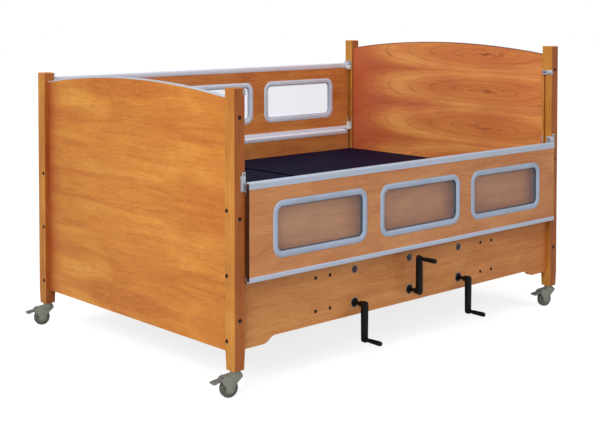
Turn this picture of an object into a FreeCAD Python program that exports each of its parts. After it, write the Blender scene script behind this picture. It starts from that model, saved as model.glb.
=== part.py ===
import FreeCAD, Part
import os
import math
import Sketcher
from FreeCAD import Placement, Rotation, Vector

# Adjustable hospital bed: wooden enclosure frame on four locking casters, sliding windowed
# safety rails, sectional deck on a screw-lifted frame, and three hand cranks.
# Millimetres.  X runs from the foot end to the head end, Y from the crank side (near) to the
# far side, Z up from the floor.  Finished parts are moved so that (origin_x, origin_y) is at 0.

os.makedirs("parts", exist_ok=True)
doc = FreeCAD.newDocument("bed")
sheet = doc.addObject("Spreadsheet::Sheet", "Dims")

# Driving dimensions.  Y places are for the near side and mirror to the far side.
TABLE = [
    # whole bed
    ("bed_len", 2150), ("bed_wid", 1490), ("origin_x", 1036.1994), ("origin_y", 684.2177),
    # posts
    ("post_side", 57), ("post_bot", 105), ("foot_top", 1222), ("head_top", 1338),
    ("post_edge", 2.5), ("post_taper_top", 178), ("post_taper", 2.6),
    # end boards and their edging; the springs are where the arched tops begin
    ("board_off", 24), ("board_thk", 22), ("board_bot", 170),
    ("foot_spring", 1176), ("head_spring", 1291), ("arch_rad", 4954.333333), ("edging_up", 5),
    # side panels, with a wave in the lower edge and a notch round each post, and their caps
    ("panel_out", 26), ("panel_thk", 22), ("panel_bot", 178), ("panel_up", 205),
    ("panel_top", 785), ("wave_one", 170), ("wave_two", 240), ("wave_rad", 52.12037),
    ("notch_low", 440), ("notch_in", 92), ("cap_low", 781), ("cap_top", 803), ("cap_lap", 2),
    # grooves in the posts
    ("groove_near", 29), ("groove_far", 45), ("groove_deep", 10),
    ("groove_low", 440), ("groove_top", 1192),
    # rails and their edge channels
    ("rail_outer", -22), ("rail_inner", -4), ("rail_low", 450), ("rail_tall", 400),
    ("rail_move", 353), ("rail_step", 26), ("rail_end", 60),
    ("chan_outer", -24), ("chan_inner", -2.6), ("chan_top", 29), ("chan_bot", 22),
    # rail windows
    ("win_wide", 539), ("win_tall", 233), ("win_pitch", 621), ("win_z", 196.5), ("win_rad", 52),
    ("trim_face", 26), ("trim_lap", 12), ("trim_outside", 3), ("trim_inside", 2),
    ("pane_thk", 4),
    # rail shoes and latches
    ("shoe_reach", 72), ("shoe_outer", 27), ("shoe_inner", 50), ("shoe_tall", 46),
    ("shoe_cap", 26), ("shoe_pin", 4), ("shoe_pin_x", 66), ("shoe_pin_reach", 32.5),
    ("latch_low", 812), ("latch_top", 876),
    # cranks
    ("crank_knee_x", 695), ("crank_lift_x", 1047), ("crank_head_x", 1392), ("crank_z", 260),
    ("crank_r", 8), ("crank_arm", 150), ("crank_y", -35), ("grip_r", 10), ("grip_len", 84),
    ("bush_r", 12), ("plug_z", 404), ("plug_r", 11),
    # lift base
    ("beam_foot_x", 505), ("beam_head_x", 1600), ("beam_half", 27),
    ("beam_low", 222), ("beam_top", 292), ("col_out", 25), ("col_hole", 21),
    ("col_post", 20.93), ("col_y", 78), ("col_low", 190), ("col_top", 462),
    # deck sections and hinges
    ("deck_top", 694), ("pad_thk", 24), ("pan_tall", 30), ("pan_wall", 2.5),
    ("deck_near", 55), ("deck_foot", 60), ("deck_head", 2090),
    ("knee_x", 718), ("hip_x", 1048), ("back_x", 1298), ("hinge_z", 660),
    ("frame_low", 600), ("frame_top", 638), ("frame_y", 62), ("frame_in", 98),
    # drives, lift arms and lift screws
    ("drive_y", 120), ("drive_r", 7), ("tube_z", 480), ("tube_r", 16),
    ("knee_tube_x", 920), ("head_tube_x", 1347), ("roller_r", 18),
    ("screw_r", 15), ("screw_top", 515), ("nut_r", 28), ("nut_low", 420),
    # casters; run_gap is the clearance round every turning shaft
    ("cast_trail", 30), ("wheel_r", 37.5), ("wheel_half", 13), ("axle_r", 5),
    ("run_gap", 0.06), ("cast_turn", 168),
]


# ---------------------------------------------------------------- sizes
class Size:
    """A size: its number (v) and the sheet formula it comes from (e)."""

    def __init__(self, v, e):
        self.v, self.e = float(v), e

    def join(self, other, sign, number):
        return Size(number, "(%s %s %s)" % (self.e, sign, other.e))

    def __add__(self, other):
        other = size(other)
        return self.join(other, "+", self.v + other.v)

    def __radd__(self, other):
        return size(other) + self

    def __sub__(self, other):
        other = size(other)
        return self.join(other, "-", self.v - other.v)

    def __rsub__(self, other):
        return size(other) - self

    def __mul__(self, other):
        other = size(other)
        return self.join(other, "*", self.v * other.v)

    __rmul__ = __mul__

    def __truediv__(self, other):
        other = size(other)
        return self.join(other, "/", self.v / other.v)

    def __neg__(self):
        return 0 - self


def size(value):
    return value if isinstance(value, Size) else Size(value, repr(float(value)))


class Dimensions:
    """The sheet's dimensions, one attribute per alias."""


dim = Dimensions()
for row, (alias, number) in enumerate(TABLE, 1):
    sheet.set("A%d" % row, alias)
    sheet.set("B%d" % row, repr(number))
    sheet.setAlias("B%d" % row, alias)
    setattr(dim, alias, Size(number, "Dims.%s" % alias))
doc.recompute()


# ---------------------------------------------------------------- solids and their binding
count = 0
parts = []
TURN = {
    "x": Rotation(Vector(0, 1, 0), 90),
    "y": Rotation(Vector(1, 0, 0), -90),
    "z": Rotation(),
}


def new(kind, stem):
    global count
    count += 1
    return doc.addObject(kind, "%s_%03d" % (stem, count))


def name_for(stem):
    global count
    count += 1
    return "%s_%03d" % (stem, count)


def follow(obj, path, value):
    """Binds a property path to the sheet, if its size comes from there."""
    if "Dims" in value.e:
        obj.setExpression(path, value.e)


def bind(obj, prop, value):
    value = size(value)
    setattr(obj, prop, value.v)
    follow(obj, prop, value)


def place(obj, x, y, z, rotation=TURN["z"]):
    x, y, z = size(x), size(y), size(z)
    obj.Placement = Placement(Vector(x.v, y.v, z.v), rotation)
    for key, value in (("x", x), ("y", y), ("z", z)):
        follow(obj, "Placement.Base." + key, value)


def ordered(low, high):
    low, high = size(low), size(high)
    return (high, low) if low.v > high.v else (low, high)


def box(x0, x1, y0, y1, z0, z1):
    """A box between two places on each axis, given in either order."""
    x0, x1 = ordered(x0, x1)
    y0, y1 = ordered(y0, y1)
    z0, z1 = ordered(z0, z1)
    solid = new("Part::Box", "Box")
    bind(solid, "Length", x1 - x0)
    bind(solid, "Width", y1 - y0)
    bind(solid, "Height", z1 - z0)
    place(solid, x0, y0, z0)
    return solid


def lay(solid, axis, first, second, low):
    """Lays a round solid along axis; first and second are its other two coordinates in order."""
    start = {"x": (low, first, second), "y": (first, low, second), "z": (first, second, low)}
    place(solid, *start[axis], TURN[axis])
    return solid


def cylinder(axis, first, second, low, high, radius):
    low, high = ordered(low, high)
    solid = new("Part::Cylinder", "Cylinder")
    bind(solid, "Radius", radius)
    bind(solid, "Height", high - low)
    return lay(solid, axis, first, second, low)


def cone(axis, first, second, low, high, low_radius, high_radius):
    solid = new("Part::Cone", "Cone")
    bind(solid, "Radius1", low_radius)
    bind(solid, "Radius2", high_radius)
    bind(solid, "Height", size(high) - low)
    return lay(solid, axis, first, second, low)


def fuse(*objs):
    if len(objs) == 1:
        return objs[0]
    fusion = new("Part::MultiFuse", "Fusion")
    fusion.Shapes = list(objs)
    fusion.Refine = True
    return fusion


def cut(base, *tools):
    result = new("Part::Cut", "Cut")
    result.Base = base
    result.Tool = fuse(*tools)
    result.Refine = True
    return result


def group(*objs):
    compound = new("Part::Compound", "Group")
    compound.Links = list(objs)
    return compound


def part(obj, label, x=0, y=0, rotation=TURN["z"]):
    """Names a finished part and moves it from the drawing axes to the part origin."""
    place(obj, x - dim.origin_x, y - dim.origin_y, 0, rotation)
    obj.Label = label
    parts.append((label, obj))


# ---------------------------------------------------------------- sketched bodies
def new_body(stem):
    body = doc.addObject("PartDesign::Body", name_for(stem))
    body.AllowCompound = True
    return body


def arc(start, end, radius, side):
    """The arc from start to end, always drawn anticlockwise, whichever way its loop runs."""
    dx, dy = end.x - start.x, end.y - start.y
    chord = math.hypot(dx, dy)
    sag = radius - math.sqrt(max(radius * radius - chord * chord / 4, 0))
    middle = Vector((start.x + end.x) / 2 + side * sag * dy / chord,
                    (start.y + end.y) / 2 - side * sag * dx / chord, 0)
    if side < 0:
        start, end = end, start
    return Part.Arc(start, middle, end)


def sketch(body, role, loops, circles=(), offset=0):
    """A fully constrained sketch on one of the body's origin planes.

    loops are lists of vertices (u, v) or (u, v, radius, side); the radius bends the edge from
    that vertex to the next, and side +1 puts the arc's bulge on the right of the travel.
    circles are (u, v, radius).
    """
    sk = body.newObject("Sketcher::SketchObject", name_for("Sketch"))
    support = next(f for f in body.Origin.OriginFeatures if f.Role == role)
    sk.AttachmentSupport = [(support, "")]
    sk.MapMode = "FlatFace"
    offset = size(offset)
    sk.AttachmentOffset = Placement(Vector(0, 0, offset.v), Rotation())
    follow(sk, "AttachmentOffset.Base.z", offset)
    rules, driven = [], []

    def tie(kind, args, value):
        value = size(value)
        driven.append((len(rules), value))
        rules.append(Sketcher.Constraint(kind, *args, value.v))

    def tie_point(shape, point, u, v):
        tie("DistanceX", (-1, 1, shape, point), u)
        tie("DistanceY", (-1, 1, shape, point), v)

    for loop in loops:
        corners = [(size(vertex[0]), size(vertex[1])) for vertex in loop]
        points = [Vector(u.v, v.v, 0) for u, v in corners]
        edges = []  # (geometry number, its start point, its end point) along the travel
        for i, vertex in enumerate(loop):
            start, end = points[i], points[(i + 1) % len(loop)]
            if len(vertex) == 2:
                shape = sk.addGeometry(Part.LineSegment(start, end), False)
                edges.append((shape, 1, 2))
            else:
                radius, side = size(vertex[2]), vertex[3]
                shape = sk.addGeometry(arc(start, end, radius.v, side), False)
                edges.append((shape, 1, 2) if side > 0 else (shape, 2, 1))
                tie("Radius", (shape,), radius)
        for i, (shape, start, end) in enumerate(edges):
            following = edges[(i + 1) % len(edges)]
            rules.append(Sketcher.Constraint("Coincident", shape, end, *following[:2]))
            tie_point(shape, start, *corners[i])
    for u, v, radius in circles:
        u, v, radius = size(u), size(v), size(radius)
        circle = Part.Circle(Vector(u.v, v.v, 0), Vector(0, 0, 1), radius.v)
        shape = sk.addGeometry(circle, False)
        tie_point(shape, 3, u, v)
        tie("Radius", (shape,), radius)
    sk.addConstraint(rules)
    for i, value in driven:
        follow(sk, "Constraints[%d]" % i, value)
    return sk


def pad(body, profile, length, reverse=False):
    """A sketch on XZ_Plane looks along +Y, so its pad goes towards -Y unless reversed."""
    feature = body.newObject("PartDesign::Pad", name_for("Pad"))
    feature.Profile = profile
    feature.Reversed = reverse
    bind(feature, "Length", length)
    return feature


def pocket(body, profile, length, both=True):
    feature = body.newObject("PartDesign::Pocket", name_for("Pocket"))
    feature.Profile = profile
    feature.Midplane = both
    bind(feature, "Length", length)


def rounded(x0, x1, y0, y1, r):
    """A rounded rectangle, travelled anticlockwise."""
    return [
        (x0 + r, y0), (x1 - r, y0, r, 1), (x1, y0 + r), (x1, y1 - r, r, 1),
        (x1 - r, y1), (x0 + r, y1, r, 1), (x0, y1 - r), (x0, y0 + r, r, 1),
    ]


# ---------------------------------------------------------------- shared places
LENGTH, WIDTH, MID_Y = dim.bed_len, dim.bed_wid, dim.bed_wid / 2
POST = dim.post_side
PANEL_IN = dim.panel_out + dim.panel_thk
END_NAMES, SIDE_NAMES = ("foot", "head"), ("near", "far")
CORNERS = [(head, far) for head in (0, 1) for far in (0, 1)]
BEAMS = (dim.beam_foot_x, dim.beam_head_x)
CRANKS = (dim.crank_knee_x, dim.crank_lift_x, dim.crank_head_x)


def at_end(x, head):
    """x measured from the foot end, or from the head end."""
    return LENGTH - x if head else size(x)


def at_side(y, far):
    """y measured from the near side, or from the far side."""
    return WIDTH - y if far else size(y)


def corner_box(head, far, x0, x1, y0, y1, z0, z1):
    return box(at_end(x0, head), at_end(x1, head), at_side(y0, far), at_side(y1, far), z0, z1)


def side_box(far, *bounds):
    return corner_box(0, far, *bounds)


def side_cylinder(far, x, z, y0, y1, radius):
    return cylinder("y", x, z, at_side(y0, far), at_side(y1, far), radius)


def post_boxes(head, far, rows):
    """Boxes fused at a post; rows are x0, x1, y0, y1, z0, z1 with x from its inward face."""
    return fuse(*[corner_box(head, far, POST + x0, POST + x1, *rest) for x0, x1, *rest in rows])


# ---------------------------------------------------------------- posts and bolts
END_BOLT_Z = (738, 480, 220)
SIDE_BOLT_Z = ((1106, 707, 305), (1218, 762, 305))  # foot posts, head posts
END_BOLT_Y = POST / 2 + 17.5
SIDE_BOLT_X = POST / 2 + 0.5
POST_HOLE_R = 4.2
PANEL_HOLE_R = 3.6
HOLE_CUT = 60  # whole depth of a hole pocket, half of it on each side of the sketch
PLATE_BOLT_X = (-42, 42)  # from a beam's centre
PLATE_BOLT_Z = (261, 402)
PANEL_BOLTS = [(beam_x + dx, z) for beam_x in BEAMS for dx in PLATE_BOLT_X for z in PLATE_BOLT_Z]
POST_TURN = {(0, 0): 0, (0, 1): -90, (1, 0): 90, (1, 1): 180}


def post(head, far):
    """A square post with bolt holes in its two outside faces and a groove for the rail shoes."""
    body = new_body("Post")
    top = dim.head_top if head else dim.foot_top
    edge, split = dim.post_edge, dim.post_taper_top
    outline = [[(edge, 0), (POST - edge, 0), (POST, edge), (POST, POST - edge),
                (POST - edge, POST), (edge, POST), (0, POST - edge), (0, edge)]]
    pad(body, sketch(body, "XY_Plane", outline, offset=split), top - split)
    # the foot narrows towards the caster
    foot = pad(body, sketch(body, "XY_Plane", outline, offset=split),
               split - dim.post_bot, reverse=True)
    bind(foot, "TaperAngle", -dim.post_taper)
    doc.recompute()
    chamfer = body.newObject("PartDesign::Chamfer", name_for("Chamfer"))
    rim = [i for i, e in enumerate(foot.Shape.Edges, 1) if abs(e.BoundBox.ZMin - top.v) < 1e-6]
    chamfer.Base = (foot, ["Edge%d" % i for i in rim])
    bind(chamfer, "Size", edge)
    doc.recompute()

    rows = [(END_BOLT_Z, END_BOLT_Y), (SIDE_BOLT_Z[head], SIDE_BOLT_X)]
    near, away, bottom = dim.groove_near, dim.groove_far, POST - dim.groove_deep
    groove = [(bottom, near), (POST + 1, near), (POST + 1, away), (bottom, away)]
    # a post turned a quarter swaps its two local faces
    if head != far:
        rows.reverse()
        groove = [(v, u) for u, v in reversed(groove)]
    for role, (heights, across) in zip(("YZ_Plane", "XZ_Plane"), rows):
        holes = [(across, z, POST_HOLE_R) for z in heights]
        pocket(body, sketch(body, role, [], holes), HOLE_CUT)
    pocket(body, sketch(body, "XY_Plane", [groove], offset=dim.groove_top),
           dim.groove_top - dim.groove_low, both=False)
    part(body, "post_%s_%s" % (END_NAMES[head], SIDE_NAMES[far]), at_end(0, head),
         at_side(0, far), Rotation(Vector(0, 0, 1), POST_TURN[head, far]))


def bolt(axis, first, second, face, inward, head_r=7, shank_r=4, depth=28):
    """A bolt with a stepped head on a face; inward is +1 or -1 along axis."""
    flange, head = 1.6, 3.0  # how far each step of the head stands off the face
    return fuse(
        cylinder(axis, first, second, face - flange * inward, face, head_r),
        cylinder(axis, first, second, face - head * inward, face - flange * inward,
                 head_r - 1.6),
        cylinder(axis, first, second, face, face + depth * inward, shank_r))


def frame_bolts():
    bolts = []
    for head, far in CORNERS:
        for z in END_BOLT_Z:
            bolts.append(bolt("x", at_side(END_BOLT_Y, far), z, at_end(0, head), 1 - 2 * head))
        for z in SIDE_BOLT_Z[head]:
            bolts.append(bolt("y", at_end(SIDE_BOLT_X, head), z, at_side(0, far), 1 - 2 * far))
    for far in (0, 1):
        for x, z in PANEL_BOLTS:
            bolts.append(bolt("y", x, z, at_side(dim.panel_out, far), 1 - 2 * far,
                              head_r=6, shank_r=3.5, depth=26))
    part(group(*bolts), "frame_bolts")


for head, far in CORNERS:
    post(head, far)
frame_bolts()

# ---------------------------------------------------------------- boards, panels and edging
# label, height where the arch springs, face towards the foot end
END_BOARDS = [
    ("footboard", dim.foot_spring, dim.board_off),
    ("headboard", dim.head_spring, LENGTH - dim.board_off - dim.board_thk),
]
EDGING_GAP = 0.02
PANEL_GAP = 0.05  # round the bushes and plugs in the near panel


def end_board(label, spring, x):
    body = new_body("Board")
    y0, y1 = POST, WIDTH - POST
    loop = [(y0, dim.board_bot), (y1, dim.board_bot), (y1, spring, dim.arch_rad, 1),
            (y0, spring)]
    pad(body, sketch(body, "YZ_Plane", [loop]), dim.board_thk)
    part(body, label, x)


def edging(spring, x):
    """Metal edging bent over the arched top of an end board."""
    body = new_body("Edging")
    y0, y1, low = POST, WIDTH - POST, spring + EDGING_GAP
    high = low + dim.edging_up
    loop = [(y0, low), (y0, high, dim.arch_rad, -1), (y1, high), (y1, low, dim.arch_rad, 1)]
    pad(body, sketch(body, "YZ_Plane", [loop], offset=x), dim.board_thk)
    return body


def side_panel(far):
    body = new_body("SidePanel")
    low, high, radius = dim.panel_bot, dim.panel_up, dim.wave_rad
    start, end = dim.wave_one, dim.wave_two
    mid_x, mid_z = (start + end) / 2, (low + high) / 2
    notch = dim.notch_in
    loop = [
        (POST, low), (start, low, radius, 1), (mid_x, mid_z, radius, -1), (end, high),
        (LENGTH - end, high, radius, -1), (LENGTH - mid_x, mid_z, radius, 1),
        (LENGTH - start, low), (LENGTH - POST, low), (LENGTH - POST, dim.notch_low),
        (LENGTH - notch, dim.notch_low), (LENGTH - notch, dim.panel_top),
        (notch, dim.panel_top), (notch, dim.notch_low), (POST, dim.notch_low),
    ]
    pad(body, sketch(body, "XZ_Plane", [loop]), dim.panel_thk, reverse=True)
    holes = [(x, z, PANEL_HOLE_R) for x, z in PANEL_BOLTS]
    if not far:
        holes += [(x, dim.crank_z, dim.bush_r + PANEL_GAP) for x in CRANKS]
        holes += [(x, dim.plug_z, dim.plug_r + PANEL_GAP) for x in CRANKS]
    pocket(body, sketch(body, "XZ_Plane", [], holes), HOLE_CUT)
    part(body, "side_panel_" + SIDE_NAMES[far], 0, WIDTH - PANEL_IN if far else dim.panel_out)


def panel_cap(far):
    """A channel over the top edge of a side panel."""
    x0, x1 = dim.notch_in, LENGTH - dim.notch_in
    outer = side_box(far, x0, x1, dim.panel_out - dim.cap_lap, PANEL_IN + dim.cap_lap,
                     dim.cap_low, dim.cap_top)
    inner = side_box(far, x0 - 1, x1 + 1, dim.panel_out, PANEL_IN,
                     dim.cap_low - 1, dim.panel_top)
    return cut(outer, inner)


for label, spring, x in END_BOARDS:
    end_board(label, spring, x)
edge_caps = [edging(spring, x) for _, spring, x in END_BOARDS]
for far in (0, 1):
    side_panel(far)
edge_caps += [panel_cap(far) for far in (0, 1)]
part(group(*edge_caps), "metal_edge_caps")

# ---------------------------------------------------------------- rail brackets and latches
# Rows for post_boxes: x0, x1, y0, y1, z0, z1, with x from the post's inward face.
# upper stop bracket, a small channel folded round the post's corner
STOP_BRACKET = [
    (0, 12, 26, 54, 1193, 1196), (0, 12, 26, 54, 1213, 1216),
    (0, 2.5, 0, 54, 1193, 1216), (-11, 2.5, -1.6, 0, 1193, 1216),
]
# plate on the post's outer face, with ribs that guide the latch
LATCH_PLATE = [
    (-24, 0, -1.6, 0, dim.latch_low, dim.latch_top),
    (-24, -21.5, -4.5, -1, dim.latch_low, dim.latch_top - 10),
    (-2.5, 0, -4.5, -1, dim.latch_low, dim.latch_low + 15),
    (-2.5, 0, -4.5, -1, dim.latch_low + 37, dim.latch_top - 10),
]
# lift-up hook: plate, riser, top lip and tongue
LATCH_HOOK = [
    (-21, -3, -4.2, -1.7, dim.latch_low + 4, dim.latch_top - 2),
    (-21, -15, -8, -1.7, dim.latch_top - 8, dim.latch_top + 14),
    (-21, -3, -8, -1.7, dim.latch_top + 10, dim.latch_top + 14),
    (-7, 1.5, -4.2, -1.7, dim.latch_low + 16, dim.latch_low + 26),
]
brackets = [post_boxes(head, far, rows) for head, far in CORNERS
            for rows in (STOP_BRACKET, LATCH_PLATE)]
part(group(*brackets), "rail_brackets")
for far, side in enumerate(SIDE_NAMES):
    part(group(*[post_boxes(head, far, LATCH_HOOK) for head in (0, 1)]),
         "rail_%s_latches" % side)

# ---------------------------------------------------------------- safety rails
# In these functions low is the rail's bottom edge and step how far inward the rail stands.
CHAN_WEB = 6  # channel thickness above and below the wood
# shoe bottom above the rail's bottom edge, shoe height, pin height above that edge
SHOES = [(0, dim.shoe_tall, 11), (362, dim.shoe_cap, 380)]


def windows(low, inset):
    """The three window outlines, drawn in by inset."""
    middle, z = LENGTH / 2, low + dim.win_z
    half_x, half_z = dim.win_wide / 2 - inset, dim.win_tall / 2 - inset
    return [rounded(x - half_x, x + half_x, z - half_z, z + half_z, dim.win_rad - inset)
            for x in (middle - dim.win_pitch, middle, middle + dim.win_pitch)]


def rail_panel(far, low, step):
    body = new_body("Rail")
    outline = rounded(dim.rail_end, LENGTH - dim.rail_end, low + CHAN_WEB,
                      low + dim.rail_tall - CHAN_WEB, size(2))
    pad(body, sketch(body, "XZ_Plane", [outline] + windows(low, dim.trim_lap)),
        dim.rail_inner - dim.rail_outer, reverse=True)
    y = WIDTH - (dim.rail_inner + step) if far else dim.rail_outer + step
    part(body, "rail_%s_panel" % SIDE_NAMES[far], 0, y)


def rail_channels(far, low, step):
    """Channels along both edges, with the pins that the shoes sit on."""
    top = low + dim.rail_tall
    x0, x1 = dim.rail_end, LENGTH - dim.rail_end
    pieces = []
    for z0, z1 in ((top - dim.chan_top, top), (low, low + dim.chan_bot)):
        bar = side_box(far, x0, x1, dim.chan_outer + step, dim.chan_inner + step, z0, z1)
        slot = side_box(far, x0 - 1, x1 + 1, dim.rail_outer + step, dim.rail_inner + step,
                        low + CHAN_WEB, top - CHAN_WEB)
        pieces.append(cut(bar, slot))
    for head in (0, 1):
        for _, _, pin_up in SHOES:
            pieces.append(side_cylinder(
                far, at_end(dim.shoe_pin_x, head), low + pin_up,
                dim.chan_inner + step, dim.shoe_pin_reach + step, dim.shoe_pin))
    part(group(*pieces), "rail_%s_channels" % SIDE_NAMES[far])


def rail_shoes(far, low):
    """Blocks beside the posts, each with a tongue in the post's groove."""
    seam = POST + 0.5
    shoes = []
    for head in (0, 1):
        for up, tall, pin_up in SHOES:
            z0, z1 = low + up, low + up + tall
            block = corner_box(head, far, seam, dim.shoe_reach,
                               dim.shoe_outer, dim.shoe_inner, z0, z1)
            tongue = corner_box(head, far, POST - dim.groove_deep + 1, seam,
                                dim.groove_near + 1, dim.groove_far - 1, z0, z1)
            hole = side_cylinder(far, at_end(dim.shoe_pin_x, head), low + pin_up, 20, 60,
                                 dim.shoe_pin + dim.run_gap)
            shoes.append(cut(fuse(block, tongue), hole))
    part(group(*shoes), "rail_%s_shoes" % SIDE_NAMES[far])


def window_trims(far, low, step):
    """A face ring on each side of the rail and a sleeve through the wood."""
    body = new_body("Trims")
    thick = dim.rail_inner - dim.rail_outer
    first, last = dim.trim_outside, dim.trim_inside
    y = dim.rail_outer + step - first
    if far:
        first, last = last, first
        y = WIDTH - (dim.rail_inner + step) - first
    layers = [(0, 0, first), (dim.trim_lap, -first, thick), (0, -(first + thick), last)]
    for inset, offset, depth in layers:
        rings = windows(low, inset) + windows(low, dim.trim_face)
        pad(body, sketch(body, "XZ_Plane", rings, offset=offset), depth, reverse=True)
    part(body, "rail_%s_window_trims" % SIDE_NAMES[far], 0, y)


def window_panes(far, low, step):
    body = new_body("Panes")
    pad(body, sketch(body, "XZ_Plane", windows(low, dim.trim_face)), dim.pane_thk, reverse=True)
    middle = (dim.rail_outer + dim.rail_inner) / 2 + step
    part(body, "rail_%s_window_panes" % SIDE_NAMES[far], 0,
         at_side(middle, far) - dim.pane_thk / 2)


# the near rail is down; the far rail is up and stands further in
for far, low, step in ((0, dim.rail_low, 0), (1, dim.rail_low + dim.rail_move, dim.rail_step)):
    rail_panel(far, low, step)
    rail_channels(far, low, step)
    rail_shoes(far, low)
    window_trims(far, low, step)
    window_panes(far, low, step)

# ---------------------------------------------------------------- lift base
PLATE_HALF = 60
PLATE_LOW, PLATE_TOP = 240, 425
SPINE_HALF, SPINE_DEEP = 30, 20
SCREW_SHANK_R = 12


def base_beam(x):
    """A cross beam with a mounting block and a guide column at each side."""
    pieces = [box(x - dim.beam_half, x + dim.beam_half, dim.col_y + dim.col_out,
                  WIDTH - dim.col_y - dim.col_out, dim.beam_low, dim.beam_top)]
    for far in (0, 1):
        pieces.append(side_box(far, x - PLATE_HALF, x + PLATE_HALF,
                               PANEL_IN, dim.col_y - dim.col_out, PLATE_LOW, PLATE_TOP))
        pieces.append(side_box(far, x - dim.col_out, x + dim.col_out, dim.col_y - dim.col_out,
                               dim.col_y + dim.col_out, dim.col_low, dim.col_top))
    return fuse(*pieces)


def beam_holes(x):
    holes = []
    for far in (0, 1):
        holes.append(side_box(far, x - dim.col_hole, x + dim.col_hole, dim.col_y - dim.col_hole,
                              dim.col_y + dim.col_hole, dim.col_low - 1, dim.col_top + 1))
        for z in PLATE_BOLT_Z:
            for dx in PLATE_BOLT_X:
                holes.append(side_cylinder(far, x + dx, z, PANEL_IN - 1,
                                           dim.col_y - dim.col_out + 1, PANEL_HOLE_R))
    # room for the bevel pair where the line shaft meets the lift screw
    holes.append(box(x - 22, x + 22, MID_Y - 22, MID_Y + 22,
                     dim.beam_low + 14, dim.beam_top - 8))
    holes.append(cylinder("z", x, MID_Y, dim.beam_top - 10, dim.beam_top + 1,
                          SCREW_SHANK_R + dim.run_gap))
    holes.append(cylinder("x", MID_Y, dim.crank_z, x - 40, x + 40, dim.crank_r + dim.run_gap))
    return holes


beams = [base_beam(x) for x in BEAMS]
spine = box(*BEAMS, MID_Y - SPINE_HALF, MID_Y + SPINE_HALF,
            dim.beam_low - SPINE_DEEP, dim.beam_low)
part(cut(fuse(*beams, spine), *beam_holes(BEAMS[0]), *beam_holes(BEAMS[1])), "lift_base_frame")

# ---------------------------------------------------------------- crank bushes and gear cases
CRANK_BORE = dim.crank_r + dim.run_gap
DRIVE_BORE = dim.drive_r + dim.run_gap
SHORT_CASE, DEEP_CASE = 84, 150  # y of the case's far face


def crank_bush(x):
    """A flanged bush in the near side panel."""
    z, face = dim.crank_z, dim.panel_out
    return cut(
        fuse(cylinder("y", x, z, face - 5, face, 19),
             cylinder("y", x, z, face, PANEL_IN, dim.bush_r),
             cylinder("y", x, z, face - 9, face - 5, 14)),
        cylinder("y", x, z, face - 10, PANEL_IN + 1, CRANK_BORE))


def gear_case(x, back):
    """A case behind the near panel, joined by a strap to a boss through the panel."""
    z, y = dim.crank_z, dim.drive_y
    case = fuse(
        box(x - 34, x + 34, PANEL_IN, back, z - 34, z + 34),
        box(x - 22, x + 22, PANEL_IN, PANEL_IN + 6, z + 30, dim.plug_z + 18),
        cylinder("y", x, dim.plug_z, PANEL_IN - 24.5, PANEL_IN + 2, dim.plug_r))
    if back == SHORT_CASE:
        return cut(case, cylinder("y", x, z, PANEL_IN - 1, back + 1, CRANK_BORE))
    # the deep cases hold a bevel pair and let a drive shaft out at the top
    return cut(case,
               cylinder("y", x, z, PANEL_IN - 1, y, CRANK_BORE),
               box(x - 24, x + 24, y - 24, y + 24, z - 24, z + 24),
               cylinder("z", x, y, z + 20, z + 40, DRIVE_BORE))


def centre_case():
    """The case at mid-width where the lift crank meets the line shaft."""
    x, y, z = dim.crank_lift_x, MID_Y, dim.crank_z
    return cut(
        box(x - 36, x + 36, y - 36, y + 36, dim.beam_low, z + 36),
        box(x - 25, x + 25, y - 26, y + 26, z - 26, z + 26),
        cylinder("y", x, z, y - 40, y, CRANK_BORE),
        cylinder("x", y, z, x - 40, x + 40, CRANK_BORE))


part(group(*[crank_bush(x) for x in CRANKS]), "crank_bushes")
cases = [gear_case(x, back) for x, back in zip(CRANKS, (DEEP_CASE, SHORT_CASE, DEEP_CASE))]
part(group(*cases, centre_case()), "crank_gear_cases")

# ---------------------------------------------------------------- cranks and shafts
BEVEL_LEN = 10  # also the fall in a crank bevel's radius
ARM_HALF = 13.5
GRIP_PIN_R = 4


def crank(name, x, up, end_y, bevel_r):
    """A crank and its grip; up is +1 for an arm that points up and -1 for down."""
    y, z = dim.crank_y, dim.crank_z
    pin_z = z + dim.crank_arm * up
    grip_end = y - 11
    grip_start = grip_end - dim.grip_len
    part(fuse(
        cylinder("y", x, z, y - 8, end_y, dim.crank_r),
        cylinder("y", x, z, y - 11, y + 24, 14),
        box(x - ARM_HALF, x + ARM_HALF, y - 10, y + 10, z, pin_z),
        cylinder("y", x, pin_z, y - 10, y + 10, ARM_HALF),
        cylinder("y", x, pin_z, grip_start, y - 8, GRIP_PIN_R),
        cone("y", x, z, end_y - BEVEL_LEN, end_y, bevel_r, bevel_r - BEVEL_LEN)),
        "crank_" + name)
    part(cut(
        fuse(cylinder("y", x, pin_z, grip_start - 4, grip_end - 1, dim.grip_r - 1.5),
             cylinder("y", x, pin_z, grip_start + 6, grip_end - 8, dim.grip_r),
             cylinder("y", x, pin_z, grip_start - 4, grip_start + 4, dim.grip_r)),
        cylinder("y", x, pin_z, grip_start - 0.5, grip_end, GRIP_PIN_R + dim.run_gap)),
        "grip_" + name)


def drive_shaft(label, x):
    """A vertical shaft from a crank gear case up into a deck gear case."""
    y, low = dim.drive_y, dim.crank_z + 12.5
    part(fuse(cylinder("z", x, y, low, dim.screw_top, dim.drive_r),
              cone("z", x, y, low, low + BEVEL_LEN, 9, 19)), label)


def line_shaft():
    """The shaft between the two lift screws, with its bevel wheels."""
    z, foot_x, head_x, crank_x = dim.crank_z, *BEAMS, dim.crank_lift_x
    part(fuse(
        cylinder("x", MID_Y, z, foot_x + 12, head_x - 12, dim.crank_r),
        cone("x", MID_Y, z, crank_x + 13.5, crank_x + 23.5, 10, 20),
        cone("x", MID_Y, z, foot_x + 11, foot_x + 20, 7, 16),
        cone("x", MID_Y, z, head_x - 20, head_x - 11, 16, 7)), "lift_line_shaft")


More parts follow.
